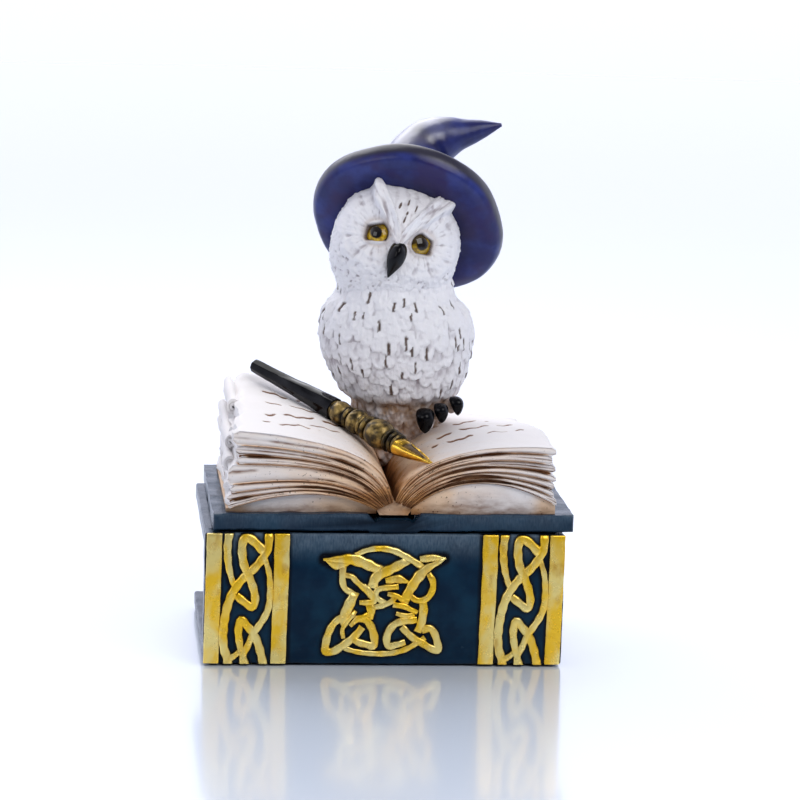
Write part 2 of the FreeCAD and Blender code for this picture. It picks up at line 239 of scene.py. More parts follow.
def slab(low, high, step, radius):
    """A box with rounded edges, its faces cut into squares of about step."""
    lines = [edge_lines(low[k], high[k], step, radius) for k in range(3)]
    sizes = [len(line) for line in lines]
    faces = []
    for axis in range(3):
        across = [k for k in range(3) if k != axis]
        a, b = np.meshgrid(*(np.arange(sizes[k] - 1) for k in across), indexing="ij")
        for end in (0, sizes[axis] - 1):
            for_corner = []
            for da, db in ((0, 0), (1, 0), (1, 1), (0, 1)):
                index = [None, None, None]
                index[axis] = np.full(a.shape, end)
                index[across[0]] = a + da
                index[across[1]] = b + db
                for_corner.append((index[0] * sizes[1] + index[1]) * sizes[2] + index[2])
            faces.append(np.stack(for_corner, -1).reshape(-1, 4))
    used, faces = np.unique(np.vstack(faces), return_inverse=True)
    index = np.stack(np.unravel_index(used, sizes), -1)
    points = np.stack([lines[k][index[:, k]] for k in range(3)], -1)
    inner = np.clip(points, np.array(low) + radius, np.array(high) - radius)
    out = points - inner
    points = inner + out * (radius / np.maximum(np.linalg.norm(out, axis=1), 1e-9))[:, None]
    return Shell(points, faces.reshape(-1, 4).tolist())


def ring_wall(outer, inner, heights, step, radius):
    """A hollow rectangular block between two rectangles (x0, x1, y0, y1), with rounded edges."""
    counts = [int((outer[1] - outer[0]) / step), int((outer[3] - outer[2]) / step)] * 2
    loops = []
    for x0, x1, y0, y1 in (outer, inner):
        corners = np.array([(x0, y0), (x1, y0), (x1, y1), (x0, y1), (x0, y0)], float)
        sides = [np.linspace(corners[k], corners[k + 1], counts[k], endpoint=False) for k in range(4)]
        loops.append(np.vstack(sides))
    low, high = heights
    wall = 10.0
    rounding = radius / wall
    levels = np.linspace(low + radius, high - radius, max(2, int((high - low) / step * 1.5)))
    section = [(0, z) for z in levels]
    section += [(rounding * 0.3, high - radius * 0.3), (rounding, high), (0.5, high), (1 - rounding, high)]
    section += [(1, z) for z in levels[::-1]]
    section += [(1 - rounding, low), (0.5, low), (rounding, low), (rounding * 0.3, low + radius * 0.3)]
    share = np.array([w for w, z in section])[None, :, None]
    z = np.array([z for w, z in section])
    flat = loops[0][:, None] * (1 - share) + loops[1][:, None] * share
    return np.concatenate([flat, np.broadcast_to(z[None, :, None], flat.shape[:2] + (1,))], axis=-1)


def outward(rings, join_rows=False):
    """Unit normals of a stack of rings, pointing out."""
    across = np.roll(rings, -1, axis=1) - np.roll(rings, 1, axis=1)
    if join_rows:
        along = np.roll(rings, -1, axis=0) - np.roll(rings, 1, axis=0)
    else:
        along = np.gradient(rings, axis=0)
    normal = np.cross(along, across)
    normal /= np.maximum(np.linalg.norm(normal, axis=-1, keepdims=True), 1e-9)
    middle = rings.mean(axis=1, keepdims=True)
    if np.sum(normal * (rings - middle)) < 0:
        normal = -normal
    return normal


def make(name, shells, body, node, material, sharp=38):
    """The piece made of the shells, riding on the body in place of the node. Edges over sharp stay hard."""
    points = np.vstack([s.points for s in shells]) * MM
    faces = []
    start = 0
    for shell in shells:
        faces += [[start + i for i in face] for face in shell.faces]
        start += len(shell.points)
    mesh = bpy.data.meshes.new(name)
    mesh.from_pydata(points.tolist(), [], faces)
    for mark in shells[0].marks:
        values = np.concatenate([s.marks[mark] for s in shells]).astype(np.float32)
        mesh.attributes.new(mark, "FLOAT", "POINT").data.foreach_set("value", values)
    work = bmesh.new()
    work.from_mesh(mesh)
    bmesh.ops.recalc_face_normals(work, faces=work.faces)
    work.to_mesh(mesh)
    work.free()
    mesh.shade_smooth()
    mesh.set_sharp_from_angle(angle=math.radians(sharp))
    mesh.materials.append(material)
    obj = bpy.data.objects.new(name, mesh)
    bpy.context.scene.collection.objects.link(obj)
    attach(obj, body)
    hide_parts(node)


# ---- materials


class Nodes:
    """Adds nodes to a tree."""

    def __init__(self, tree):
        self.tree = tree

    def wire(self, value, socket):
        """Feeds a socket from another socket, a number or a colour."""
        if isinstance(value, bpy.types.NodeSocket):
            self.tree.links.new(value, socket)
        elif isinstance(value, tuple) and len(value) == 3 and socket.type == "RGBA":
            socket.default_value = (*value, 1.0)
        else:
            socket.default_value = value

    def add(self, kind, **inputs):
        """A new node with these values on its own sockets."""
        node = self.tree.nodes.new("ShaderNode" + kind)
        for name, value in inputs.items():
            self.wire(value, node.inputs[name.replace("_", " ")])
        return node

    def between(self, value, low, high):
        """0 where the value is low, 1 where it is high, smooth between."""
        node = self.add("MapRange", Value=value, From_Min=low, From_Max=high)
        node.interpolation_type = "SMOOTHSTEP"
        return node.outputs["Result"]

    def mix(self, share, a, b, kind="RGBA"):
        """a where the share is 0, b where it is 1."""
        node = self.tree.nodes.new("ShaderNodeMix")
        node.data_type = kind
        self.wire(share, node.inputs["Factor"])
        self.wire(a, node.inputs["A"])
        self.wire(b, node.inputs["B"])
        return node.outputs["Result"]

    def level(self, share, a, b):
        return self.mix(share, a, b, "FLOAT")


class Paint(Nodes):
    """A procedural material under construction."""

    def __init__(self, name, roughness, metallic=0.0, coat=0.0, coat_roughness=0.1, specular=0.5):
        self.material = bpy.data.materials.new(name)
        self.material.use_nodes = True
        super().__init__(self.material.node_tree)
        self.surface = self.tree.nodes["Principled BSDF"]
        self.place = self.add("TexCoord").outputs["Object"]
        self.set(Roughness=roughness, Metallic=metallic, Coat_Weight=coat, Coat_Roughness=coat_roughness,
                 Specular_IOR_Level=specular)

    def set(self, **values):
        for name, value in values.items():
            self.wire(value, self.surface.inputs[name.replace("_", " ")])

    def mark(self, name):
        """The number of this name stored on the points."""
        node = self.add("Attribute")
        node.attribute_name = name
        return node.outputs["Fac"]

    def cloud(self, size_mm, detail=3.0, stretch=(1, 1, 1), distortion=0.0):
        """Noise from 0 to 1 with features of about the given size."""
        scale = self.add("Mapping", Vector=self.place, Scale=[1 / s for s in stretch])
        node = self.add("TexNoise", Vector=scale.outputs["Vector"], Scale=1 / (size_mm * MM), Detail=detail,
                        Distortion=distortion)
        return node.outputs["Fac"]

    def times(self, a, b):
        node = self.add("Math")
        node.operation = "MULTIPLY"
        self.wire(a, node.inputs[0])
        self.wire(b, node.inputs[1])
        return node.outputs[0]

    def bump(self, height, distance_mm, strength=1.0):
        """Relief in the shading, on top of what the surface has already."""
        node = self.add("Bump", Distance=distance_mm * MM, Strength=strength, Height=height)
        if self.surface.inputs["Normal"].links:
            self.wire(self.surface.inputs["Normal"].links[0].from_socket, node.inputs["Normal"])
        self.set(Normal=node.outputs["Normal"])


def navy_paint():
    """Dark navy over cast resin, a streaky painted sheen on the tops, and painted shade round the gilt relief
    where the mark "shade" says.
    """
    p = Paint("navy_paint", 0.3, specular=0.12)
    patches = p.between(p.cloud(9, 4), 0.3, 0.75)
    base = p.mix(patches, (0.0014, 0.014, 0.036), (0.004, 0.03, 0.062))
    brushed = p.times(p.level(p.cloud(0.5, 4, (1, 1, 4)), 0.1, 1.0), p.level(p.cloud(3.5, 4), 0.4, 1.3))
    # painted sheen: a streaky lighter blue-grey where light catches the tops
    wear = p.times(brushed, p.mark("wear"))
    base = p.mix(wear, base, (0.20, 0.27, 0.34))
    p.set(Base_Color=p.mix(p.mark("shade"), base, (0.001, 0.002, 0.005)))
    p.set(Roughness=p.level(p.cloud(2.5, 4), 0.16, 0.32))
    p.bump(p.cloud(0.8, 4), 0.1, 0.35)
    p.bump(p.cloud(4, 3), 0.3, 0.3)
    return p.material


def gilt_paint():
    """Gold paint, thin in places. The mark "groove" is 1 in the dark outline of the relief, dark paint with
    painted shade.
    """
    p = Paint("gilt_paint", 0.3, metallic=0.55, coat=0.5, coat_roughness=0.2)
    leaf = p.between(p.cloud(6.5, 3, (1, 1, 1.9), 0.5), 0.36, 0.64)
    gold = p.mix(leaf, (1.0, 0.60, 0.006), (0.95, 0.76, 0.25))
    thin = p.between(p.cloud(4.5, 4, (1, 1, 1.6)), 0.58, 0.74)
    gold = p.mix(p.times(thin, 0.6), gold, (0.55, 0.28, 0.012))
    p.set(Base_Color=p.mix(p.mark("groove"), gold, (0.004, 0.005, 0.008)))
    p.set(Roughness=p.level(p.cloud(3.0, 3), 0.18, 0.34))
    p.bump(p.cloud(2.4, 3), 0.12, 0.4)
    return p.material


def page_paint():
    """Off-white paper. "wash" is the tan wash towards the gutter, "ink" the brown left in the grooves."""
    p = Paint("page_paint", 0.55, specular=0.15)
    wash = p.mark("wash")
    uneven = p.times(wash, p.level(p.cloud(4, 5, (2.2, 1, 1)), 0.35, 1.6))
    light = p.mix(p.between(uneven, 0.02, 0.42), (0.83, 0.80, 0.79), (0.80, 0.58, 0.40))
    tan = p.mix(p.between(uneven, 0.45, 1.15), light, (0.52, 0.26, 0.10))
    dark = p.mix(p.between(uneven, 1.0, 1.9), tan, (0.16, 0.065, 0.025))
    ink = p.times(p.mark("ink"), p.level(p.cloud(1.6, 5, (2.5, 1, 1)), 0.3, 1.7))
    brown = p.mix(p.between(ink, 0.12, 1.0), dark, (0.17, 0.07, 0.028))
    specks = p.times(p.between(p.cloud(0.8, 2), 0.66, 0.72), p.between(wash, 0.02, 0.35))
    p.set(Base_Color=p.mix(p.times(specks, 0.9), brown, (0.05, 0.022, 0.01)))
    p.bump(p.cloud(0.6, 4), 0.1, 0.5)
    return p.material


def leaf_edge_paint():
    """The closed book's pages, fine lines of brown wash between cream leaves."""
    p = Paint("leaf_edge_paint", 0.6)
    lines = p.between(p.cloud(0.8, 3, (14, 14, 1)), 0.42, 0.62)
    cream = p.mix(lines, (0.45, 0.30, 0.15), (0.80, 0.68, 0.48))
    p.set(Base_Color=p.mix(p.mark("ink"), cream, (0.2, 0.1, 0.04)))
    p.bump(lines, 0.15, 0.6)
    return p.material


def owl_paint():
    """White paint. "depth" is painted shade, 1 between the feathers. The brown wash mark also paints the
    shadow under the belly. "stroke" is the dark marks.
    """
    p = Paint("owl_paint", 0.55, coat=0.1, coat_roughness=0.4)
    depth = p.mark("depth")
    # painted shade, lavender-grey, between the feathers
    white = p.mix(p.between(depth, 0.35, 1.0), (0.86, 0.845, 0.865), (0.40, 0.355, 0.38))
    stained = p.mix(p.times(p.mark("stain"), p.level(p.cloud(2.2, 5), 0.2, 1.5)), white, (0.36, 0.22, 0.13))
    marks = p.mix(p.cloud(1.5, 3), (0.015, 0.008, 0.006), (0.16, 0.09, 0.06))
    p.set(Base_Color=p.mix(p.mark("stroke"), stained, marks))
    p.bump(p.cloud(0.55, 4, (1, 1, 2)), 0.22, 0.9)
    p.bump(p.cloud(1.3, 4, (1, 1, 1.6)), 0.35, 0.8)
    return p.material


def hat_paint():
    """Dark blue-violet. The painted shade mark is 1 where it is nearly black, "gloss" where it is varnished.
    """
    p = Paint("hat_paint", 0.32, specular=0.3, coat_roughness=0.34)
    blue = p.mix(p.between(p.cloud(7, 4), 0.35, 0.7), (0.010, 0.014, 0.10), (0.024, 0.036, 0.19))
    violet = p.mix(p.between(p.cloud(12, 3), 0.45, 0.65), blue, (0.020, 0.013, 0.090))
    p.set(Base_Color=p.mix(p.mark("fold"), violet, (0.005, 0.003, 0.022)))
    p.set(Roughness=p.level(p.cloud(3.5, 4), 0.26, 0.4))
    p.set(Coat_Weight=p.mark("gloss"), Coat_IOR=2.4)
    p.bump(p.cloud(2.8, 3), 0.25, 0.3)
    return p.material


def black_gloss():
    """Beak, claws and pen barrel."""
    p = Paint("black_gloss", 0.1, specular=0.1, coat=0.12, coat_roughness=0.04)
    p.set(Base_Color=p.mix(p.cloud(2, 3), (0.0008, 0.0008, 0.001), (0.004, 0.004, 0.006)))
    p.bump(p.cloud(1.6, 3), 0.12, 0.35)
    return p.material


def bronze_paint():
    """Bronze rubbed bright on the high places, dark in the mark "groove"."""
    p = Paint("bronze_paint", 0.35, metallic=0.75, coat=0.15, specular=0.2)
    high = p.between(p.cloud(2.4, 4), 0.38, 0.72)
    bronze = p.mix(high, (0.042, 0.03, 0.014), (0.42, 0.285, 0.09))
    p.set(Base_Color=p.mix(p.mark("groove"), bronze, (0.008, 0.007, 0.006)))
    p.bump(p.cloud(0.9, 3), 0.15, 0.5)
    return p.material


def nib_gold():
    """Bright gold, browned where the mark "groove" says."""
    p = Paint("nib_gold", 0.2, metallic=0.9, coat=0.4)
    gold = p.mix(p.between(p.cloud(2.5, 3), 0.4, 0.65), (0.92, 0.54, 0.04), (0.62, 0.37, 0.04))
    p.set(Base_Color=p.mix(p.mark("groove"), gold, (0.08, 0.034, 0.006)))
    p.bump(p.cloud(1.0, 3), 0.1, 0.5)
    return p.material


def eye_glass():
    """Painted eye under gloss. "iris" is millimetres from the pupil's middle, "shadow" the dark brow side."""
    p = Paint("eye_glass", 0.12, coat=0.5, coat_roughness=0.03, specular=0.3)
    from_middle = p.mark("iris")
    flecks = p.mix(p.between(p.cloud(0.8, 3), 0.35, 0.7), (0.34, 0.19, 0.006), (0.72, 0.46, 0.012))
    inner = p.mix(p.between(from_middle, 1.55, 2.25), (0.002, 0.002, 0.003), flecks)
    rim = p.mix(p.between(from_middle, 3.1, 3.9), inner, (0.012, 0.006, 0.003))
    p.set(Base_Color=p.mix(p.mark("shadow"), rim, (0.018, 0.010, 0.003)))
    return p.material


def felt():
    p = Paint("felt", 0.95, specular=0.1)
    p.set(Base_Color=p.mix(p.cloud(0.4, 4), (0.012, 0.012, 0.014), (0.035, 0.035, 0.04)))
    p.bump(p.cloud(0.3, 4), 0.2, 0.8)
    return p.material


navy = navy_paint()
gilt = gilt_paint()
paper = page_paint()
leaf_edges = leaf_edge_paint()
owl_white = owl_paint()
hat_blue = hat_paint()
black = black_gloss()
bronze = bronze_paint()
nib_metal = nib_gold()
eye_paint = eye_glass()
felt_cloth = felt()


# ---- gilt relief on the spine


band_width = 4.8
panel_width = 16.2
spine_middle = (book_low[2] + book_high[2]) / 2
spine_half = (book_high[2] - book_low[2]) / 2
spine_front = book_low[1] + spine_bulge
medallion_middle = (-0.4, spine_middle - 0.6)


def spine_y(z):
    """Depth of the spine's bulged face at a height."""
    return spine_front - spine_bulge * (1 - ((z - spine_middle) / spine_half) ** 2)


# Strands of one panel between two bands: widths along the strand, lift, and points from its lower left
panel_strands = [
    ((2.1, 1.9, 1.2), 0.0, [(2.4, 41.3), (1.9, 37), (2.3, 31.5), (3.4, 27), (4.3, 24.6)]),
    ((2.3, 2.1, 2.0), 0.25, [(13.4, 35.6), (10.4, 38.8), (7.6, 40.4), (6.4, 37.4), (7, 32), (8.7, 28),
        (10.1, 24.3), (10.7, 20.8), (9.9, 18.4), (7.9, 19.6), (5.4, 21.6)]),
    ((2.1, 2.2, 2.2), 0.12, [(14.7, 41.3), (14.5, 37.5), (13, 34.1), (10.4, 30.8), (7.4, 28), (4.9, 25),
        (2.9, 21), (1.6, 16), (0.95, 9.8), (1.3, 5.2), (2.3, 1.9), (2.6, 0.1)]),
    ((1.3, 1.8, 1.6), 0.0, [(13.6, 33.4), (14.9, 29), (15.3, 23.7), (15, 18.6), (13.7, 15.1), (11.6, 11.7),
        (9.8, 8.6), (8.6, 5.6), (7.4, 2.8), (7.1, 0.1)]),
    ((1.6, 2.1, 2.1), 0.0, [(8.1, 0.1), (6.7, 4.2), (6, 7.6), (5.7, 11), (6.4, 14.2), (8.3, 12.4),
        (10.5, 9.6), (12.2, 5.6), (13.6, 0.1)]),
    ((1.5, 1.6, 1.2), 0.1, [(1.9, 1.6), (4.1, 2.3), (6.1, 4)]),
]

# Strands of the medallion, from its middle
medallion_strands = [
    ((0.5, 3.0, 2.4), 0.2, [(-18.4, 13.4), (-15.2, 13.5), (-12, 13.6), (-8.9, 13.3), (-5.4, 12),
        (-1.3, 10.1)]),
    ((0.5, 2.6, 1.2), 0.05, [(-17.9, 13.1), (-15, 11.8), (-11.2, 12.6)]),
    ((2.6, 2.5, 2.2), 0.35, [(-3.4, 5.2), (-2.9, 7.4), (-1, 9), (2.1, 10.5), (5.1, 12.1), (7, 13.2)]),
    ((1.5, 2.3, 0.4), 0.15, [(1.2, 6.9), (3.8, 7.4), (5.6, 7.1), (7.7, 6.4)]),
    ((1.1, 1.7, 1.6), 0.25, [(-8.5, 15.2), (-5.6, 16.4), (-1.5, 17), (2.7, 16.4), (6, 14.9), (8.8, 13.3),
        (11.7, 11.4)]),
    ((0.6, 2.7, 2.3), 0.4, [(18.6, 13.8), (15.9, 12.3), (13.2, 10.7), (10.8, 8.2), (8.8, 5.2), (7.3, 2.2),
        (6.7, 0.3)]),
    ((0.5, 2.0, 1.6), 0.1, [(18.2, 14), (15.4, 14.1), (11.8, 13.7)]),
    ((1.6, 1.7, 1.5), 0.1, [(14.2, 8.6), (15.2, 6.9), (15.3, 4.3), (14.2, 1.9), (12.5, 0.7), (10.4, 0.7),
        (9.2, 1.4)]),
    ((2.1, 2.2, 2.0), 0.2, [(12.3, 0.3), (12.6, -1.9), (12.4, -4.5), (12, -6.6), (11.2, -8.9)]),
    ((1.8, 2.0, 1.6), 0.3, [(9.9, -5.7), (6.8, -6), (4.2, -6.7), (2.4, -8.5), (1.4, -10.8), (1.4, -13.2),
        (2.3, -14.2), (4.3, -13.7), (6.5, -13.1)]),
    ((1.8, 1.9, 1.9), 0.15, [(6.4, -8.4), (9, -11), (12.3, -13), (15.2, -14.8), (17.6, -15.5),
        (17.2, -12.7), (16.1, -9.7), (14.6, -8.3), (12.9, -8.9)]),
    ((1.3, 1.5, 1.4), 0.0, [(-11.3, -15.1), (-8.2, -16), (-4.6, -16.5), (0, -16.7), (4.2, -16.2),
        (7.8, -15), (10.4, -13.4), (12.8, -11.8)]),
    ((1.5, 1.5, 1.3), 0.2, [(3.9, 4.9), (1.1, 4.7), (-1.7, 4.1), (-2.5, 2.6), (-1.7, 1.1), (0.2, 0)]),
    ((1.5, 1.5, 1.3), 0.1, [(-2.1, -1.5), (0.1, -0.9), (2.4, 0.2), (3.5, 1.5)]),
    ((1.2, 1.4, 1.3), 0.3, [(1.9, 2.5), (4, 2.1), (5.8, 1.1), (7, 1.1)]),
    ((1.5, 1.5, 1.1), 0.2, [(3.7, -0.9), (6.3, -1.2), (8.4, -2.2), (10.1, -3)]),
    ((1.2, 1.4, 1.2), 0.1, [(4.7, -3.8), (6.8, -4.3), (9.1, -4)]),
    ((1.6, 1.7, 1.5), 0.1, [(-12.7, 11.4), (-13, 9), (-12.9, 6.4), (-12.1, 4.3), (-10.3, 3.1)]),
    ((1.3, 1.5, 1.5), 0.2, [(-11.7, 8.4), (-10.1, 8.1), (-8.6, 6.6), (-6.6, 4.8), (-5, 3.2), (-3.6, 1.6)]),
    ((1.5, 1.6, 1.3), 0.3, [(-5.9, 4.7), (-4.3, 3.3), (-3.3, 1.6), (-3, 0.2), (-4.9, -0.1), (-6.8, -0.2)]),
    ((2.2, 2.8, 1.5), 0.35, [(-9.2, 2.6), (-10.1, 0.6), (-11.2, -2), (-12, -4), (-12.4, -6.2),
        (-12.1, -7.2)]),
    ((2.0, 2.1, 1.6), 0.1, [(-4.5, -0.9), (-3.8, -2.7), (-4, -4.8)]),
    ((1.7, 2.1, 1.9), 0.1, [(-12.9, -4.8), (-15.3, -6.9), (-16.8, -9.7), (-17.6, -12.7), (-17.7, -15.9),
        (-15.2, -15.9), (-12.6, -14.2), (-10, -12.2), (-8, -10.2), (-6.8, -8.6)]),
    ((1.1, 1.2, 1.1), 0.45, [(-9, -3.4), (-10.6, -5.4), (-12, -7.3), (-12.7, -9.1), (-12.4, -11)]),
    ((1.7, 2.1, 1.7), 0.25, [(-8.6, -5.4), (-6.1, -5.4), (-4.2, -7), (-3, -9.6), (-2.5, -12.2),
        (-2.9, -14.1), (-5.1, -13.6), (-7.8, -12.8), (-9.4, -11.6)]),
    ((1.4, 1.5, 1.2), 0.35, [(-5.1, -4.2), (-6.6, -4.9), (-8.4, -5.7), (-9.8, -7.2)]),
]


strand_section = [  # across in half widths, height in reliefs
    (-1.3, -0.5), (-1.12, -0.02), (-1.02, 0.45), (-0.9, 0.88), (-0.6, 0.99), (0, 1.02),
    (0.6, 0.99), (0.9, 0.88), (1.02, 0.45), (1.12, -0.02), (1.3, -0.5),
]


def strand(points, widths, lift, origin):
    """A flat-topped gilt ribbon on the spine's face along points (x, z) from the origin."""
    points = np.array(points, float)
    first, last = points[0] - points[1], points[-1] - points[-2]
    longer = 0.7
    start = points[0] + longer * first / np.linalg.norm(first)
    stop = points[-1] + longer * last / np.linalg.norm(last)
    points = np.vstack([start, points[1:-1], stop])
    length = np.sum(np.linalg.norm(np.diff(points, axis=0), axis=1))
    line = curve_through(points, int(length / 0.45) + 4)
    run = np.gradient(line, axis=0)
    run /= np.linalg.norm(run, axis=1, keepdims=True)
    side = np.stack([run[:, 1], -run[:, 0]], -1)
    along = np.linspace(0, 1, len(line))
    half = np.interp(along, [0, 0.5, 1], widths) * 0.62
    half = half * (1 + 0.07 * np.sin(along * length * 1.7 + lift * 40))
    across, level = np.array(strand_section).T
    height = level * strand_relief
    dip = 1.8  # length over which an end goes down under its neighbours
    tuck = np.minimum(ease(along * length, 0, dip), ease((1 - along) * length, 0, dip))[:, None]
    height = height[None, :] + np.where(height > 0.3, 1, 0)[None, :] * (lift * tuck - 0.22 * (1 - tuck))
    flat = line[:, None] + side[:, None] * (half[:, None] * across[None, :])[..., None]
    x, z = origin[0] + flat[..., 0], origin[1] + flat[..., 1]
    z = np.clip(z, book_low[2] + 0.05, book_high[2] - 0.05)
    height = height + 0.06 * noise(points_of(x, z, 0.0), 1.6, 5)
    # groove: the ribbon's low sides, dark paint with painted shade
    return tube(points_of(x, spine_y(z) - height, z), groove=ease(-level, -0.85, -0.3))


def knot(name, strands, origin):
    """A relief of several strands."""
    shells = [strand(points, widths, lift, origin) for widths, lift, points in strands]
    make(name, shells, "box", name, gilt, sharp=60)


def band_edges():
    """Left edge of each gilt band, from left to right."""
    first = book_low[0] + 0.3
    second = first + band_width + panel_width
    return [first, second, -second - band_width, -first - band_width]


def panel_corner(band):
    """Lower left corner of the panel to the right of this band."""
    return band_edges()[band] + band_width, book_low[2]


def spine_band(name, x0):
    """One band: a strip with soft uneven edges that follows the spine's bulge."""
    low = [x0, -0.6, book_low[2] + 0.05]
    high = [x0 + band_width, 0.75, book_high[2] - 0.02]
    shell = slab(low, high, 0.8, 0.3)
    p = shell.points
    p[:, 0] += 0.2 * noise(p * [0.3, 0, 1], 4, 3) - 0.35 * (spine_middle - p[:, 2]) / spine_half
    p[:, 1] = spine_y(p[:, 2]) - p[:, 1] - 0.05 * noise(p, 2.5, 4)
    # groove: dark paint with painted shade where the band goes down into the spine
    shell.marks = {"groove": ease(-(spine_y(p[:, 2]) - p[:, 1]), -0.3, 0.1)}
    make(name, [shell], "box", name, gilt)


# ---- closed book


def relief_shade(x, z):
    """Painted shade, with dark paint, round the gilt relief at points of the spine."""
    nearest = np.full(x.shape, 99.0)
    for x0 in band_edges():
        nearest = np.minimum(nearest, np.abs(x - x0 - band_width / 2) - band_width / 2)
    motifs = [(panel_strands, panel_corner(0)), (panel_strands, panel_corner(2)),
              (medallion_strands, medallion_middle)]
    for strands, origin in motifs:
        for widths, _, points in strands:
            line = curve_through(points, 26) + origin
            for px, pz in line:
                nearest = np.minimum(nearest, np.hypot(x - px, z - pz) - max(widths) / 2)
    return 1 - ease(nearest, 0.2, 1.3)


def book_cover_piece(name, shell):
    make("closed_book_" + name, [shell], "box", "closed_book_cover", navy)


def closed_book():
    """Spine, boards, hollow page block and the gilt relief of the closed book."""
    low, high = book_low, book_high
    board = 5.0
    spine_depth = 8.0
    overhang = 3.0
    wall = 8.0

    spine = slab([low[0], spine_front, low[2]], [high[0], spine_front + spine_depth, high[2]], 0.7, 0.7)
    p = spine.points
    front = p[:, 1] < spine_front + 0.8
    p[:, 1] -= np.where(front, spine_bulge * (1 - ((p[:, 2] - spine_middle) / spine_half) ** 2), 0)
    # painted shade, with the dark paint in the crevices, round the gilt relief
    shade = np.where(front, relief_shade(p[:, 0], p[:, 2]), 0)
    spine.points = wobble(p, 7, 0.16, 11)
    # painted sheen, strongest towards the top of the spine's face and a little on its other faces
    wear = 0.75 * np.where(front, ease(p[:, 2], high[2] - 11, high[2] - 0.5) ** 1.5, 0.15)
    spine.marks = {"shade": shade, "wear": wear}
    book_cover_piece("spine", spine)

    back_edge = spine_front + spine_depth - 0.4
    lower = slab([low[0], back_edge, low[2]], [high[0], high[1], low[2] + board], 1.2, 0.9)
    lower.points = wobble(lower.points, 9, 0.3, 21)
    # a little painted sheen all over the lower board
    lower.marks = {"shade": lower.points[:, 0] * 0, "wear": lower.points[:, 0] * 0 + 0.12}
    book_cover_piece("lower_board", lower)

    pages_low, pages_high = box_mm("closed_book_pages")
    hollow = (pages_low[0] + wall, pages_high[0] - wall, spine_front + spine_depth, pages_high[1] - wall)
    rings = ring_wall((low[0], high[0], back_edge, high[1]), hollow, (high[2] - board, high[2]), 1.4, 0.8)
    rings = wobble(rings, 9, 0.22, 31)
    # a little painted sheen all over the upper board
    book_cover_piece("upper_board", hoop(rings, shade=0.0, wear=0.12))

    outer = (pages_low[0], pages_high[0], back_edge, pages_high[1])
    inner = (hollow[0], hollow[1], hollow[2] + overhang / 2, hollow[3])
    rings = ring_wall(outer, inner, (pages_low[2] - 0.1, pages_high[2] + 0.1), 1.1, 0.3)
    leaves = noise(rings * [0.05, 0.05, 1], 0.9, 41, 2)
    rings = rings + outward(rings, True) * (0.35 * leaves)[..., None] * [1, 1, 0]
    ink = ease(-leaves, 0.1, 0.7) * 0.7
    make("closed_book_pages", [hoop(rings, ink=ink)], "box", "closed_book_pages", leaf_edges)

    for place, x0 in zip(("outer_left", "inner_left", "inner_right", "outer_right"), band_edges()):
        spine_band("spine_band_" + place, x0)
    knot("knot_panel_left", panel_strands, panel_corner(0))
    knot("knot_panel_right", panel_strands, panel_corner(2))
    knot("knot_medallion", medallion_strands, medallion_middle)


# ---- open book


def open_cover():
    """Boards and dropped spine: one cross-section run from front to back, rounded at the ends, with a painted
    highlight along the top front edge and painted shade in front of the dropped spine.
    """
    half = (cover_high[0] - cover_low[0]) / 2
    floor = cover_top - 5.2
    hinge_x = 8.4
    right = [(half, cover_top), (hinge_x, cover_top), (6, cover_top - 2.5), (4.7, cover_top - 1.7)]
    under = [(half, floor), (hinge_x, floor), (7.2, cover_low[2] + 0.1)]
    top = right + [(-x, z) for x, z in right[::-1]]
    bottom = [(-x, z) for x, z in under] + under[::-1]
    corners = np.array(top + bottom)
    corners[:, 0] += gutter_x
    loop = []
    for a, b in zip(corners, np.roll(corners, -1, axis=0)):
        count = max(1, int(np.linalg.norm(b - a) / 1.3))
        loop += [a + (b - a) * k / count for k in range(count)]
    loop = np.array(loop)
    middle = np.array([gutter_x, (cover_top + floor) / 2])
    depths = edge_lines(cover_low[1], cover_high[1], 1.3, 0.7)
    rings = []
    for y in depths:
        inset = 0.55 * max(0, 1 - min(y - depths[0], depths[-1] - y) / 0.7)
        room = loop - middle
        size = np.array([half, 2.6])
        ring = middle + room - np.sign(room) * inset * (np.abs(room) > size * 0.6)
        rings.append(points_of(ring[:, 0], y, ring[:, 1]))
    rings = wobble(np.array(rings), 6, 0.32, 51)
    x, y, z = rings[..., 0], rings[..., 1], rings[..., 2]
    front = 1 - ease(y, cover_low[1], cover_low[1] + 1.5)
    hinge = 1 - ease(np.abs(x - gutter_x), 6.5, 9.5)
    # painted highlight along the top front edge, a little painted sheen all over, and painted shade at the
    # front of the dropped spine
    wear = front * (1 - hinge) * (0.10 + 0.35 * ease(z, cover_top - 1.5, cover_top)) + 0.06
    shell = plate(rings, shade=0.75 * front * hinge, wear=wear)
    make("open_book_cover", [shell], "lid", "open_book_cover", navy)


leaf_front = cover_low[1] + 2.0
leaf_back = cover_high[1] - 3.0
leaf_foot = cover_top + 1.0
hump_half = 5.4
hump_rise = 2.6
leaf_width = 50
stack_rise = 22
words = {-1: "left", 1: "right"}
# The open book's sides are -1, the left, and 1. Each curve has four poles, across and up from the gutter.
leaf_curves = {  # the lowest and the highest leaf
    -1: ([(hump_half, 0.0), (20.0, 7.7), (36.0, 5.2), (52.2, 0.0)],
         [(0.3, hump_rise), (1.8, 14.0), (11.0, 21.5), (48.6, 24.9)]),
    1: ([(hump_half, 0.6), (18.0, 11.0), (34.0, 11.5), (50.6, 1.8)],
        [(0.3, hump_rise), (2.0, 11.0), (15.0, 22.6), (49.4, 20.2)]),
}


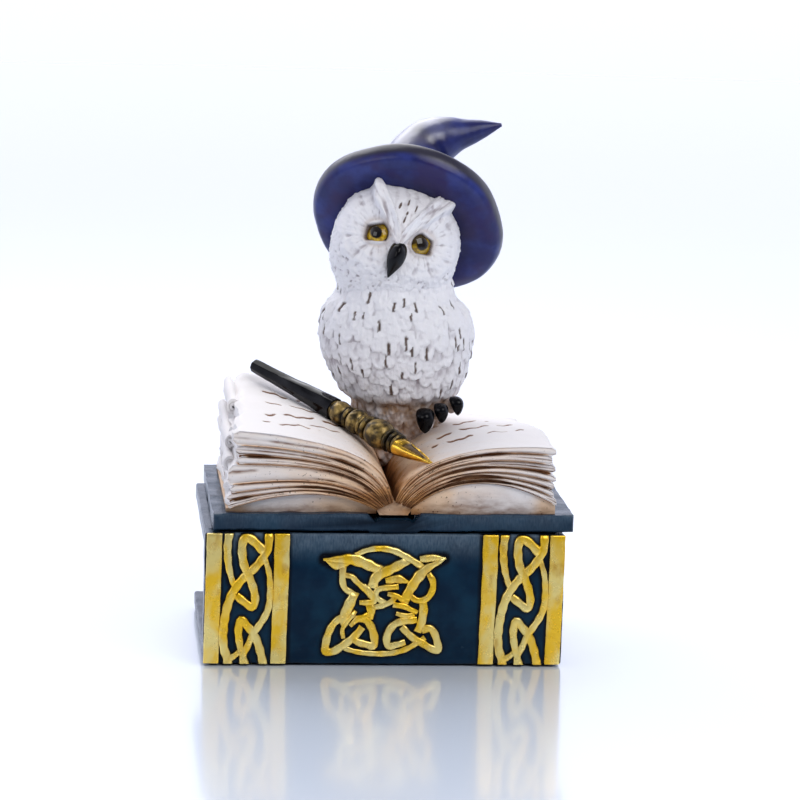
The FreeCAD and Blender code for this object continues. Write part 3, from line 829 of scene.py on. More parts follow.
def leaf_point(share, side, along, y):
    """A point on a leaf's curve. share is 0 for the lowest leaf, 1 for the highest, along 0 at the gutter."""
    back = (y - leaf_front) / (leaf_back - leaf_front)
    if side < 0:
        pull = 2.4 * back * share
        lifts = (0, 0.5 * back * share, 5.0 * back * share, 5.0 * back * share)
    else:
        pull = 3.0 * ease(back, 0.5, 1.0) * share
        drop = -4.5 * ease(back, 0.35, 1.1) * share
        lifts = (0, 9.0 * ease(back, 0.2, 1.0) * share, drop + 2.0 * back * share, drop)
    weights = ((1 - along) ** 3, 3 * along * (1 - along) ** 2, 3 * along**2 * (1 - along), along**3)
    x = 0
    z = 0
    for weight, a, b, lift, pulled in zip(weights, *leaf_curves[side], lifts, (0, 0, 1, 1)):
        x = x + weight * (a[0] + (b[0] - a[0]) * share - pull * pulled)
        z = z + weight * (a[1] + (b[1] - a[1]) * share + lift)
    return gutter_x + side * x, leaf_foot + z


written_lines = {  # across from the gutter at both ends, depth at both ends
    -1: [(10, 40, -3, -12), (17, 39, 3, 2), (26, 39, 13, 17), (13, 30, -13, -20), (22, 41, -21, -23)],
    1: [(15, 42, -9, 3), (22, 35, 5, 14), (13, 27, -17, -16), (31, 44, -14, -9)],
}


def squiggles(x, y, side):
    """Depth, 0 to 1, of the wavy engraved lines on the top leaf."""
    total = np.zeros_like(x)
    d = (x - gutter_x) * side
    for number, (start, stop, y0, y1) in enumerate(written_lines[side]):
        share = (d - start) / (stop - start)
        wave = np.sin(d * 0.62 + number * 2.1) + 0.55 * np.sin(d * 1.45 + number)
        line = hump(y, y0 + (y1 - y0) * share + wave, 0.85 if number < 3 else 0.6)
        line = line * ease(share, 0, 0.06) * (1 - ease(share, 0.94, 1))
        strength = 1.0 if number == 0 else 0.85
        total = np.maximum(total, strength * line * ease(np.sin(d * 0.5 + number * 1.3), -1.0, -0.4))
    return total


def leaf_gap(side, number, x, y):
    """Half the gap between two bundles of leaves, wide in some places and closed in others."""
    where = points_of(x, y, number * 31.0 + side * 7.0)
    widest = 0.3 if side < 0 else 0.5
    return 0.04 + widest * ease(noise(where * [1, 0.6, 1], 13, 33, 2), -0.25, 0.55)


def make_pages(name, shell, side):
    make(name, [shell], "lid", "leaves_" + words[side], paper)


def leaf_group(side, number, shares, push):
    """The bundle of leaves between two neighbouring shares of the stack, pushed forwards by push."""
    low_share, high_share = shares[number], shares[number + 1]
    top = number == len(shares) - 2
    along = np.linspace(0, 1, 150) ** 0.9
    front = leaf_front - push
    depths = edge_lines(front, leaf_back + push * 0.5, 0.45 if top else 2.5, 0.25)
    inner = depths[1:-1]
    fronts = 13
    heights = np.linspace(0, 1, fronts + 2)[1:-1]
    y_loop = np.concatenate([inner[::-1], np.full(fronts, depths[0]), inner, np.full(3, depths[-1])])
    t_loop = np.concatenate([np.zeros(len(inner)), heights, np.ones(len(inner)), [0.75, 0.5, 0.25]])
    u, y = np.meshgrid(along, y_loop, indexing="ij")
    t = np.broadcast_to(t_loop, u.shape)
    seed = 60 + 9 * number + side
    across = u * leaf_width
    where = points_of(across, y, seed * 7.0)
    uneven = 0.02 if side < 0 else 0.012
    reach = 1 + (uneven * noise(where * [0, 1, 1], 9, seed) + 0.008 * np.sin(seed * 2.3)) * ease(u, 0.6, 1)
    pinched = 0.5 + (t - 0.5) * (1 - 0.45 * ease(u, 0.985, 1.0))
    share = low_share + (high_share - low_share) * pinched
    x, z = leaf_point(share, side, u * reach, y)
    open_up = ease(u, 0.02, 0.25)
    below = leaf_gap(side, number, across, y) * open_up * (number > 0)
    above = leaf_gap(side, number + 1, across, y) * open_up * (not top)
    z = z + below * (1 - t) - above * t
    is_front = (y <= depths[0] + 1e-6).astype(float)
    thickness = (high_share - low_share) * stack_rise
    thick = thickness * np.clip(u * 2, 0.1, 1)
    engraved = np.zeros_like(u)
    lines = max(2, int(thickness / 1.7))
    for k in range(1, lines):
        drift = k / lines + 0.10 * noise(where * [1, 0, 1], 14, seed + k)
        strength = ease(noise(where * [1, 0, 1], 13, seed + 3 * k), -0.25, 0.35)
        strength = np.maximum(strength, 0.75 * (1 - ease(u, 0.18, 0.45)))
        engraved = np.maximum(engraved, hump(t, drift, 0.05 + 0.16 / lines) * strength)
    ragged = 0.5 * noise(where * [1, 0, 1], 9, seed + 5) + 0.12 * noise(where, 1.5, seed + 6)
    rounded = np.minimum(0.4 * thick, 1.1) * (2 * t - 1) ** 2
    y = y + is_front * (ragged + rounded + 0.7 * engraved)
    at_gap = hump(t, 0, 0.2) * ease(below, 0.02, 0.3) + hump(t, 1, 0.13) * ease(above, 0.02, 0.3)
    inside = (is_front < 0.5) * (y < depths[-1] - 0.5) * (1 - ease(u, 0.955, 0.98)) * (1 - top * (t > 0.5))
    ink = np.clip(is_front * (0.72 * engraved + 0.9 * at_gap) + inside, 0, 1)
    near = np.exp(-across / 12.0)
    wash = 1.25 * near + is_front * (0.05 + 0.55 * np.exp(-across / 22.0)) + inside
    on_top = 1.7 * np.exp(-((across / 11.0) ** 1.4)) + 0.5 * np.exp(-across / 20.0)
    wash = np.where((is_front < 0.5) & (t > 0.9) & (top > 0), on_top, wash)
    if top:
        cut = squiggles(x, y, side) * (t > 0.95) * (1 - is_front)
        wave = (0.45 + 0.9 * ease(y, leaf_back - 14, leaf_back)) * ease(u, 0.2, 0.5)
        z = z - 0.5 * cut + (t > 0.95) * wave * noise(where, 11, seed + 9)
        ink = np.maximum(ink, 2.0 * cut)
        wash = wash + 0.3 * cut
    make_pages(f"leaves_{words[side]}_{number + 1}", plate(points_of(x, y, z), ink=ink, wash=wash), side)


def leaf_core(side):
    """What shows, dark with wash, at the back of the gaps between the bundles."""
    along = np.linspace(0, 1, 60)
    depths = np.linspace(leaf_front + 0.95, leaf_back - 1, 30)
    y_loop = np.concatenate([depths[::-1], depths])
    t_loop = np.repeat([0.02, 0.92], 30)
    u, y = np.meshgrid(along, y_loop, indexing="ij")
    x, z = leaf_point(np.broadcast_to(t_loop, u.shape), side, u * 0.985, y)
    make_pages(f"leaves_{words[side]}_core", plate(points_of(x, y, z), ink=0.75, wash=0.9), side)


def curled_leaf(name, x, y, z, radius, seed):
    """The rolled fore edge of a few leaves, at the left of the block: a spiral run back along the book."""
    count = 70
    turns = np.linspace(0, 1.9, count)
    outer = np.stack([np.cos(turns * 2 * math.pi), np.sin(turns * 2 * math.pi) * 1.35], -1)
    outer = outer * (radius * (1 - 0.4 * turns))[:, None]
    inner = outer * (1 - 0.36 / (1 - 0.4 * turns))[:, None]
    loop = np.vstack([outer, inner[::-1]])
    rings = []
    for depth in np.linspace(y, leaf_back - 3, 40):
        back = (depth - y) / (leaf_back - y)
        size = (1 + 0.14 * math.sin(depth * 0.21 + seed)) * (1 - 0.3 * back)
        rise = 3.0 * back
        rings.append(points_of(x + loop[:, 0] * size, depth, z + rise + loop[:, 1] * size))
    ink = np.repeat([0, 0.35], count)
    make_pages(name, plate(wobble(np.array(rings), 8, 0.3, seed), ink=ink, wash=0.05), -1)


def sewn_back():
    """Rounded back of the sections in the gutter, and the curved endpapers under the lowest leaves."""
    turn = np.linspace(0, math.pi, 30)
    across = np.concatenate([-hump_half * np.cos(turn), np.linspace(hump_half, -hump_half, 12)[1:-1]])
    up = np.concatenate([hump_rise * np.sin(turn), np.full(10, -1.6)])
    depths = edge_lines(leaf_front + 0.6, leaf_back, 4, 0.4)
    rings = points_of(gutter_x + across, depths[:, None], leaf_foot + up)
    ribs = np.cos((rings[..., 0] - gutter_x) * 4.2)
    rings[..., 2] += np.where(rings[..., 2] > leaf_foot, 0.12 * ribs, 0)
    shell = plate(rings, ink=0.25 + 0.35 * ease(-ribs, 0, 1), wash=0.9)
    make("sewn_back", [shell], "lid", "sewn_back", paper)
    for side in words:
        along = np.linspace(0.0, 1, 60)
        front = leaf_front + (2.0 if side < 0 else 0.7)
        y_loop = np.array([front, front, leaf_back - 1, leaf_back - 1])
        x, z = leaf_point(0.0, side, along, 0.0)
        rings = []
        for px, pz in zip(x, z):
            levels = [cover_top - 0.4, pz - 0.1, pz - 0.1, cover_top - 0.4]
            rings.append(points_of(px, y_loop, levels))
        tan = 0.06 + 1.1 * np.exp(-along * 4.5) + 0.5 * ease(along, 0.8, 1.0)
        shell = plate(np.array(rings), ink=np.array([0.7, 0.1, 0.1, 0.7]), wash=tan[:, None])
        make_pages("endpapers_" + words[side], shell, side)


def open_book():
    open_cover()
    sewn_back()
    # where one bundle of leaves ends and the next begins, and how far each bundle stands out at the front
    stacks = {
        -1: (0, 0.10, 0.19, 0.30, 0.57, 0.68, 0.81, 1.0),
        1: (0, 0.13, 0.26, 0.40, 0.54, 0.70, 0.86, 1.0),
    }
    pushes = {-1: (0.3, 0.0, 0.35, -0.2, 0.3, 0.0, 0.35), 1: (0.2, 0.5, 0.1, 0.45, -0.3, 0.45, 0.0)}
    for side, shares in stacks.items():
        leaf_core(side)
        for k, push in enumerate(pushes[side]):
            leaf_group(side, k, shares, push)
    edge = gutter_x - leaf_curves[-1][1][3][0]
    curled_leaf("curled_leaf_1", edge - 0.4, 2.0, cover_top + 26.0, 2.5, 3)
    curled_leaf("curled_leaf_2", edge - 2.0, -18.0, cover_top + 18.2, 2.3, 2)
    curled_leaf("curled_leaf_3", edge - 2.4, -28.0, cover_top + 13.2, 2.0, 1)


# ---- owl


def feather_coat(down, turn, girth_at, pitch, reach, seed):
    """Overlapping scale feathers. Gives the height, place across and along, and chance of the topmost one.

    down is the distance along the surface from where the rows start, turn goes once round it from 0 to 1
    and girth_at gives the distance round. pitch is the spacing of rows and columns, and a feather's
    length is reach rows.
    """
    top = np.zeros_like(down)
    across_top = np.ones_like(down)
    along_top = np.zeros_like(down)
    chance_top = np.zeros(down.shape + (3,))
    for back in range(int(reach) + 1):
        row = np.floor(down / pitch) - back
        count = np.maximum(np.round(girth_at((row + 0.5) * pitch) / (pitch * 1.12)), 6)
        base = turn * count + 0.5 * (row % 2)
        for beside in (-1, 0, 1):
            column = np.floor(base) + beside
            chance = scatter(row, column % count, seed)
            across = (base - column - 0.5 + 0.45 * (chance[..., 0] - 0.5)) / (0.55 + 0.14 * chance[..., 2])
            along = (down - row * pitch + 0.75 * pitch * (chance[..., 1] - 0.5)) / (reach * pitch)
            tip = np.clip(along - 0.42, 0, None) / 0.5
            edge = 1 - np.sqrt(np.abs(across) ** 2.2 + tip**2.2)
            height = (0.3 + 0.7 * along) * np.clip(edge * 5, 0, 1) * (1 - 0.18 * across**2)
            height = height * (0.8 + 0.35 * chance[..., 2]) * (along > 0)
            better = height > top
            top = np.where(better, height, top)
            across_top = np.where(better, across, across_top)
            along_top = np.where(better, along, along_top)
            chance_top = np.where(better[..., None], chance, chance_top)
    return top, across_top, along_top, chance_top


body_profile = [  # height over the cover, x from the gutter, y from the owl's axis, half width, half depth
    (7.0, 3.5, 3.0, 3.0, 3.0), (8.5, 3.5, 3.0, 9.0, 10.0), (13.0, 4.2, 2.0, 11.5, 12.5),
    (18.0, 5.2, 1.0, 12.0, 12.5), (21.0, 5.7, 0.3, 12.5, 12.5), (24.6, 5.9, 0.2, 14.4, 14.0),
    (28.3, 5.9, 0.1, 16.2, 15.8), (30.8, 5.7, 0, 17.9, 17.0), (35.4, 5.2, 0, 20.2, 18.6),
    (39.9, 4.4, 0, 22.1, 19.8), (44.5, 4.0, -0.2, 23.4, 20.4), (49.1, 3.8, -0.5, 24.1, 20.4),
    (53.6, 3.5, -0.8, 23.7, 19.8), (57.6, 3.1, -1.1, 22.0, 19.0), (60.8, 2.9, -1.4, 19.6, 18.4),
    (64.0, 3.0, -1.6, 18.5, 17.8), (68.0, 3.0, -1.8, 17.6, 16.8), (74.0, 2.5, -2.0, 14.0, 14.0),
    (77.0, 2.5, -2.0, 8.0, 8.0),
]


def make_feathered(name, shells, node="owl_body", sharp=180):
    make(name, shells, "lid", node, owl_white, sharp)


def owl_body():
    """Body from the feet up into the head: rings with scale feathers, folded wings and soft down."""
    line = curve_through(body_profile, 900)[::-1]
    step = np.hypot(np.diff(line[:, 0]), np.diff(line[:, 3]))
    walked = np.append(0, np.cumsum(step))
    row_step = 0.36
    rows = int(walked[-1] / row_step)
    columns = 400
    at = np.linspace(0, walked[-1], rows)
    height, x, y, half_w, half_d = (np.interp(at, walked, line[:, k])[:, None] for k in range(5))
    turn = np.linspace(0, 1, columns, endpoint=False)[None, :]
    angle = turn * 2 * math.pi
    x = gutter_x + x + half_w * np.sin(angle)
    y = owl_y + y + half_d * np.cos(angle)
    skin = points_of(x, y, cover_top + height)
    front = np.abs((turn - 0.5) * 2)  # 0 at the front, 1 at the back
    front = np.broadcast_to(front, skin.shape[:2])
    down = np.broadcast_to(at[:, None], skin.shape[:2])
    over = np.broadcast_to(height, skin.shape[:2])

    def girth_at(d):
        w = np.interp(d, at, half_w[:, 0])
        return 2 * math.pi * np.maximum(w, 3)

    turns = np.broadcast_to(turn, skin.shape[:2])
    bend = noise(skin, 9, 3, 2)
    frayed = 0.5 * noise(skin, 1.6, 4, 2)
    small = feather_coat(down + bend * 1.6 + frayed, turns + 0.004 * frayed, girth_at, 3.7, 1.8, 1)
    long = feather_coat(down + bend, turns, girth_at, 6.4, 2.2, 2)
    wing_edge = 0.40 + 0.10 * ease(over, 60, 30) + 0.01 * np.sin(over)
    wing = ease(front, wing_edge - 0.012, wing_edge + 0.012) * ease(over, 22, 30) * (1 - ease(over, 58, 63))
    flight = wing * ease(front, 0.55, 0.62) * (1 - ease(over, 46, 52))
    scaly = 0.62 + 0.6 * (1 - ease(over, 38, 56))
    relief = scaly * small[0] * (1 - flight) + 1.2 * long[0] * flight
    skin_out = outward(skin)
    fluff = noise(skin * [1, 1, 0.5], 1.5, 8, 3)
    lump = 0.45 * noise(skin, 11, 7, 2) + (0.25 + 0.3 * ease(over, 38, 56)) * fluff
    lump = lump + 0.22 * noise(skin, 0.85, 24, 1)
    tuft = noise(skin * [1, 1, 0.35], 1.7, 9, 2)
    feet = 1.3 * ease(over, 30, 24) * tuft - 0.9 * hump(over, 27.5, 1.6)
    skin = skin + skin_out * (relief + lump + feet + 0.6 * wing)[..., None]

    across = small[1]
    along = small[2]
    lucky = ease(small[3][..., 2], 0.76, 0.80) * (1 - flight) * ease(over, 26, 31)
    uneven = 0.17 + 0.17 * noise(skin * [1, 1, 0.8], 1.0, 14, 2)
    stroke = lucky * (1 - ease(np.abs(across + 0.3 * (small[3][..., 0] - 0.5)) / uneven, 0.55, 1.1))
    stroke = stroke * ease(along, 0.22, 0.36) * (1 - ease(along, 0.8, 0.98))
    shaft = flight * (1 - ease(np.abs(long[1]), 0.05, 0.14)) * ease(long[3][..., 1], 0.35, 0.5) * 0.8
    stroke = np.maximum(stroke, shaft)
    skin = skin - skin_out * (0.25 * stroke)[..., None]
    # painted shade: deepest between the feathers and in the hollows of the down
    depth = 1 - np.clip(small[0] * (1 - flight) + long[0] * flight, 0, 1)
    depth = depth * (0.6 + 0.4 * (1 - ease(over, 42, 58))) + 0.28 * ease(-fluff, 0.0, 0.7)
    stain = 0.95 * ease(over, 32, 25) * (1 - ease(front, 0.45, 0.6))
    stain = stain + 0.45 * ease(over, 36, 27) * ease(front, 0.3, 0.5)
    # painted shadow in the crease under the belly, 28 mm over the cover; elsewhere brown wash, browner low in
    # the tufts
    stain = stain * (0.7 + 0.7 * noise(skin, 3, 12) - 0.6 * tuft) + 0.6 * hump(over, 28, 1.8)
    stain = np.clip(stain, 0, 1)
    make_feathered("owl_body", [tube(skin, depth=depth, stain=stain, stroke=stroke)])


def face_relief(x, z):
    """Height, opening of the eyes, dark lining, strokes and fine lines of the face at (right, up) places."""
    height = np.zeros_like(x)
    lining = np.zeros_like(x)
    opening = np.zeros_like(x)
    lines = np.zeros_like(x)
    grain = noise(points_of(x, z, 0.0), 2.4, 19, 2)
    for side in (-1, 1):
        dx = (x - side * eye_spread) * side
        dz = z - eye_rise
        away = np.hypot(dx, dz)
        angle = np.arctan2(dz, dx)
        size = 3.7 if side < 0 else 3.35
        lid = dz + 2.5 + 0.26 * dx if side < 0 else dz + 3.1
        corner = 0.75 * hump(angle, -0.75, 0.3)
        out = np.maximum(away - size - corner, -lid)
        out = np.maximum(out, dz - 2.9 + 0.45 * dx)
        opening = np.maximum(opening, 1 - ease(out, -0.35, 0.1))
        lining = np.maximum(lining, 1.15 * hump(out, -0.05, 0.5))
        near = ease(away, 3.4, 5.5) * (1 - ease(away, 10.5, 13.0))
        rays = np.sin(angle * 30 + 3.5 * grain + 1.5 * np.sin(away * 0.8 + side))
        arcs = np.sin(away * 2.6 + 3.5 * grain)
        barbs = noise(points_of(np.cos(angle) * 9, np.sin(angle) * 9, away * 0.22), 1.0, 23, 2)
        lines += near * (0.2 * rays + 1.5 * barbs + 0.35 * arcs * ease(away, 4.5, 6.5))
        height += -1.7 * (1 - ease(away, 3.6, 8.5)) + 0.6 * hump(out, 0.8, 0.55)
        height += 0.6 * hump(away, 11.0, 1.2) * ease(dx - 0.6 * dz, -2.0, 3.0)
    # the brows run up and out from the beak along a curve, and end in tufts
    ax = np.abs(x)
    reach = np.where(x < 0, 9.4, 12.5)
    rise, bend = 1.75, 0.05
    slope = rise - 2 * bend * ax
    off = (z - (4.3 + rise * ax - bend * ax**2)) / np.sqrt(1 + slope**2)
    half = 1.5 + 0.13 * ax
    brow = (1 - ease(np.abs(off) / half, 0.7, 1.1)) * (1 - ease(ax - reach, 0, 2)) * ease(z, 1, 4)
    height += brow * (1.9 + 0.02 * ax)
    tufts = 2.9 * hump(np.hypot(x - 12.6, z - 17.6), 0, 2.2) + 2.5 * hump(np.hypot(x + 9.6, z - 16.8), 0, 2.2)
    height += tufts
    forehead = ease(off, 0.3, 1.5) * ease(z, 6, 9) * (1 - ease(ax - reach, -3, -0.5))
    height += 0.7 * forehead
    fan = np.arctan2(x, z + 1)
    lines = lines * (1 - brow) * (1 - forehead) + forehead * 0.6 * np.sin(fan * 34 + 3 * grain)
    barb = noise(points_of(0.35 * (z + 0.5 * ax) - 0.5 * off, 1.3 * off, np.sign(x)), 1.0, 29, 2)
    lines = lines + 2.2 * brow * barb
    height += hump(x, 0, 2.5) * hump(z, 3.4, 2.4)
    strokes = np.zeros_like(x)
    dashes = ((-2.3, 14.6, 1.0), (0.1, 16.0, 0.9), (2.7, 14.8, 1.0), (0.3, 12.9, 0.6), (0.0, 11.0, 1.2))
    for px, pz, length in dashes:
        strokes = np.maximum(strokes, hump(x - 0.15 * (z - pz), px, 0.36 + 0.2 * grain) * hump(z, pz, length))
    return height, opening, np.clip(lining, 0, 1), ease(strokes, 0.25, 0.5), lines * (1 - opening)


head_size = np.array([head_radius, 19.6, 20.4])
squareness = 2.25  # 2 is an ellipsoid, more is boxier
hat_lean = 22
hat_tilt_back = 51
brim_centre = head_centre + np.array([0.19, 0.15, 0.27]) * head_radius
hat_axes = turned(hat_lean, "Y") @ turned(-hat_tilt_back, "X")


def owl_head():
    """Rings round the face's axis, closest together at the beak."""
    rows, columns = 205, 430
    polar = np.linspace(0.0, math.pi, rows + 2)[1:-1][:, None]
    around = circle(columns)[None, :]
    ways = ball_ways(polar, around)
    reach = np.sum(np.abs(ways / head_size) ** squareness, axis=-1) ** (-1 / squareness)
    local = ways * reach[..., None]
    x, z = local[..., 0], local[..., 2]
    frontness = ease(-ways[..., 1], -0.05, 0.25)
    relief, opening, lining, strokes, lines = face_relief(x, z)
    down = np.broadcast_to(polar, x.shape) * head_radius
    turns = np.broadcast_to(around / (2 * math.pi), x.shape)

    def girth_at(d):
        return 2 * math.pi * head_radius * np.maximum(np.sin(np.clip(d / head_radius, 0, math.pi)), 0.2)

    coat = feather_coat(down + 0.9 * noise(local, 4, 15, 2), turns, girth_at, 2.7, 1.9, 5)
    away = np.minimum(np.hypot(x - eye_spread, z - eye_rise), np.hypot(x + eye_spread, z - eye_rise))
    ax = np.abs(x)
    disc = frontness * (1 - ease(away, 10.5, 12.5))
    smooth_area = np.maximum(disc, frontness * ease(z, 7, 10) * (1 - ease(ax, 11, 14)))
    scaly = 1 - smooth_area
    fluff = noise(local, 1.4, 16, 3)
    fine = noise(local, 0.85, 18, 1)
    bumpy = 0.36 * fluff + 0.25 * noise(local, 3.4, 17, 2) + 0.26 * fine
    height = frontness * relief + 0.19 * lines * frontness
    height = height + scaly * 0.4 * coat[0] + bumpy * (0.45 + 0.9 * scaly)
    height = height - 3.2 * opening * frontness - 0.2 * strokes * frontness
    local = local + ways * height[..., None]
    head = on_face(local)
    under_hat = (head - brim_centre) @ hat_axes  # drawn in where the crown covers it
    under_hat[..., :2] *= 1 - 0.24 * ease(under_hat[..., 2:], 0.8, 4.0)
    head = brim_centre + under_hat @ hat_axes.T
    # painted shade between the feathers and knobs of the head
    depth = scaly * (0.55 * (1 - coat[0]) + 0.5 * ease(-fluff, 0.0, 0.8)) + smooth_area * (0.38 - 0.3 * lines)
    depth = np.clip(depth + 0.16 * ease(-fine, 0.1, 0.7) + 0.16 * ease(-fluff, 0.2, 0.8), 0, 1)
    stroke = np.clip(frontness * (lining * 0.92 + strokes), 0, 1)
    lucky = ease(coat[3][..., 2], 0.88, 0.92) * scaly * (1 - ease(np.abs(coat[1]), 0.1, 0.22))
    stroke = np.maximum(stroke, lucky * ease(coat[2], 0.35, 0.5) * (1 - frontness * 0.7))
    stain = 0.16 * frontness * hump(np.hypot(x, z - 1), 3.5, 3) + 0.35 * frontness * hump(away, 4.4, 0.8)
    make_feathered("owl_head", [tube(head, depth=depth, stain=stain, stroke=stroke)])


eyeball_radius = 4.8
eye_sunk = 0.9


def owl_eye(side):
    """A domed eye whose rings start at the pupil."""
    polar = np.linspace(0.03, math.pi - 0.05, 50)[:, None]
    ways = ball_ways(polar, circle(64)[None, :])
    flat = (eye_spread / head_size[0]) ** squareness + (eye_rise / head_size[2]) ** squareness
    skin = np.array([side * eye_spread, -head_size[1] * (1 - flat) ** (1 / squareness), eye_rise])
    inward = -skin / np.linalg.norm(skin)
    local = ways * eyeball_radius + skin + inward * (eyeball_radius + eye_sunk)
    right = ways[..., 0] * eyeball_radius + inward[0] * eyeball_radius
    above = ways[..., 2] * eyeball_radius + inward[2] * eyeball_radius
    iris = np.hypot(right + 0.1, above + 0.1) + 3 * (polar > math.pi / 2)
    shadow_from, dimmed = (-0.6, 0) if side < 0 else (0.4, 0.35)
    shadow = np.clip(0.95 * ease(0.75 * above - 0.6 * right, shadow_from, 2.0) + dimmed, 0, 0.95)
    name = "owl_eye_" + words[side]
    make(name, [tube(on_face(local), iris=iris, shadow=shadow)], "lid", name, eye_paint)


def owl_beak():
    """Short hooked beak, broad and round at the top, with a soft ridge down to the point."""
    length, width = 11.4, 5.9
    rise = 3.8
    t = np.linspace(0, 1, 60)
    around = circle(48)
    outline = [(0, 0.3), (0.05, 0.72), (0.16, 0.93), (0.32, 1), (0.55, 0.86), (0.8, 0.42), (1, 0.06)]
    half = width / 2 * profile(outline, t)
    out = 2.6 * profile([(0, 0.1), (0.25, 0.7), (0.5, 1.0), (0.8, 0.95), (1, 0.6)], t)
    rings = []
    for share, w, o in zip(t, half, out):
        front = np.clip(np.cos(around), 0, 1)
        x = w * np.sin(around) * (1 - 0.12 * front) - 1.1 * share**2
        y = 1.2 - head_size[1] - o - w * np.cos(around) * (1.0 + 0.25 * front**6)
        z = rise - share * length + 0.5 * front * w
        rings.append(points_of(x + 0.5, y, z))
    make("owl_beak", [tube(on_face(np.array(rings)))], "lid", "owl_beak", black, sharp=180)


def claw(x, y, z, yaw, size):
    """One glossy claw, a bent cone hung from (x, y, z) with its point down and forward."""
    t = np.linspace(0, 1, 40) ** 1.3
    around = circle(32)
    outline = [(0, 0.2), (0.05, 0.66), (0.18, 0.94), (0.4, 1), (0.65, 0.84), (0.88, 0.5), (1, 0.14)]
    radius = size * 0.40 * profile(outline, t)
    rings = []
    for share, r in zip(t, radius):
        bend = share * math.pi * 0.55
        forward = -size * 0.45 * math.sin(bend)
        ridge = 0.8 + 0.2 * np.clip(np.cos(around), 0, 1) ** 4
        ring_y = forward - r * np.cos(around) * ridge * math.cos(bend * 0.6)
        ring_z = size * (0.5 - share**1.15) + r * np.cos(around) * math.sin(bend * 0.6) * 0.6
        rings.append(points_of(r * np.sin(around), ring_y, ring_z))
    local = np.array(rings) @ turned(yaw, "Z").T
    return tube(local + np.array([x, y, z]))


def toe(x, y, z, yaw, size):
    """A scaly toe that carries a claw, half hidden by the belly feathers."""
    t = np.linspace(0, 1, 24)[:, None]
    around = circle(28)[None, :]
    radius = size * 0.36 * np.sqrt(np.clip(1 - (2 * t - 1) ** 4, 0.02, 1)) * (1 + 0.06 * np.cos(t * 30))
    ring_z = radius * np.cos(around) - size * 0.12 * t
    local = points_of(radius * np.sin(around), size * (1.6 - 1.75 * t), ring_z) @ turned(yaw, "Z").T
    local = wobble(local + np.array([x, y, z - 0.3]), 1.6, 0.18, 77)
    return tube(local, depth=0.4, stain=0.9, stroke=0.0)


def feet():
    """Three claws and toes on each foot."""
    claws = {  # x from the gutter, y from the owl's axis, height over the cover, turn, size
        "right": ((12.1, -16.5, 23.8, 0, 7.4), (17.0, -15.0, 26.0, 14, 5.9), (21.9, -12.0, 27.8, 30, 5.7)),
        "left": ((-4.0, -14.0, 20.6, -4, 6.6), (-8.4, -13.0, 21.6, -16, 6.2), (-12.6, -10.5, 22.4, -30, 6.0)),
    }
    for word, places in claws.items():
        node = "owl_talons_" + word
        spots = [(gutter_x + x, owl_y + y, cover_top + z, yaw, size) for x, y, z, yaw, size in places]
        make(node, [claw(*spot) for spot in spots], "lid", node, black, sharp=180)
        make_feathered("owl_toes_" + word, [toe(*spot) for spot in spots], node, sharp=38)


def owl_tail():
    """Short fan of tail feathers that rests on the pages behind the owl."""
    shells = []
    for k in range(5):
        lean = (k - 2) * 7.0
        t = np.linspace(0, 1, 30)[:, None]
        around = circle(24)[None, :]
        half = 3.2 * np.sqrt(np.clip(1 - np.clip(t - 0.55, 0, 1) ** 2 / 0.21, 0.01, 1)) * ease(t, -0.2, 0.2)
        y = 0.8 * np.cos(around) * (1 + 0.5 * np.cos(around * 2)) + 0.5 * abs(k - 2)
        local = points_of(half * np.sin(around), y, -24 * t) @ turned(lean, "Y").T @ turned(12, "X").T
        local = local + np.array([gutter_x + 4 + (k - 2) * 2.2, owl_y + 19.5, cover_top + 39])
        local = wobble(local, 3, 0.2, 80 + k)
        quill = hump(np.sin(around), 0, 0.12) * ease(t, 0.1, 0.2)
        shells.append(tube(local, depth=0.3 + 0.4 * np.abs(np.sin(around)), stain=0.1, stroke=0.6 * quill))
    make_feathered("owl_tail", shells, sharp=38)


# ---- hat


brim_section = [  # distance from the middle and height over the brim's underside, underside first
    (2, 0.6), (12, 0.3), (20, 0.2), (26, 0.2), (29.3, 0.9), (30.6, 1.9), (31.5, 4.0), (31.6, 6.4),
    (30.6, 7.8), (29.0, 7.6), (27.4, 6.0), (24.5, 4.6), (21.0, 4.2),
]
crown_path = [  # in head radii from the head's centre, and the crown's radius there
    (0.23, 0.42, 0.44, 0.92), (0.29, 0.76, 0.80, 0.78), (0.38, 0.96, 1.14, 0.67), (0.54, 1.06, 1.42, 0.58),
    (0.75, 1.11, 1.58, 0.48), (1.02, 1.12, 1.68, 0.375), (1.31, 1.08, 1.755, 0.25), (1.54, 1.04, 1.82, 0.15),
    (1.77, 0.99, 1.88, 0.025),
]
varnished = np.array([-0.75, -0.1, 0.65])  # the side of the crown with the thickest varnish


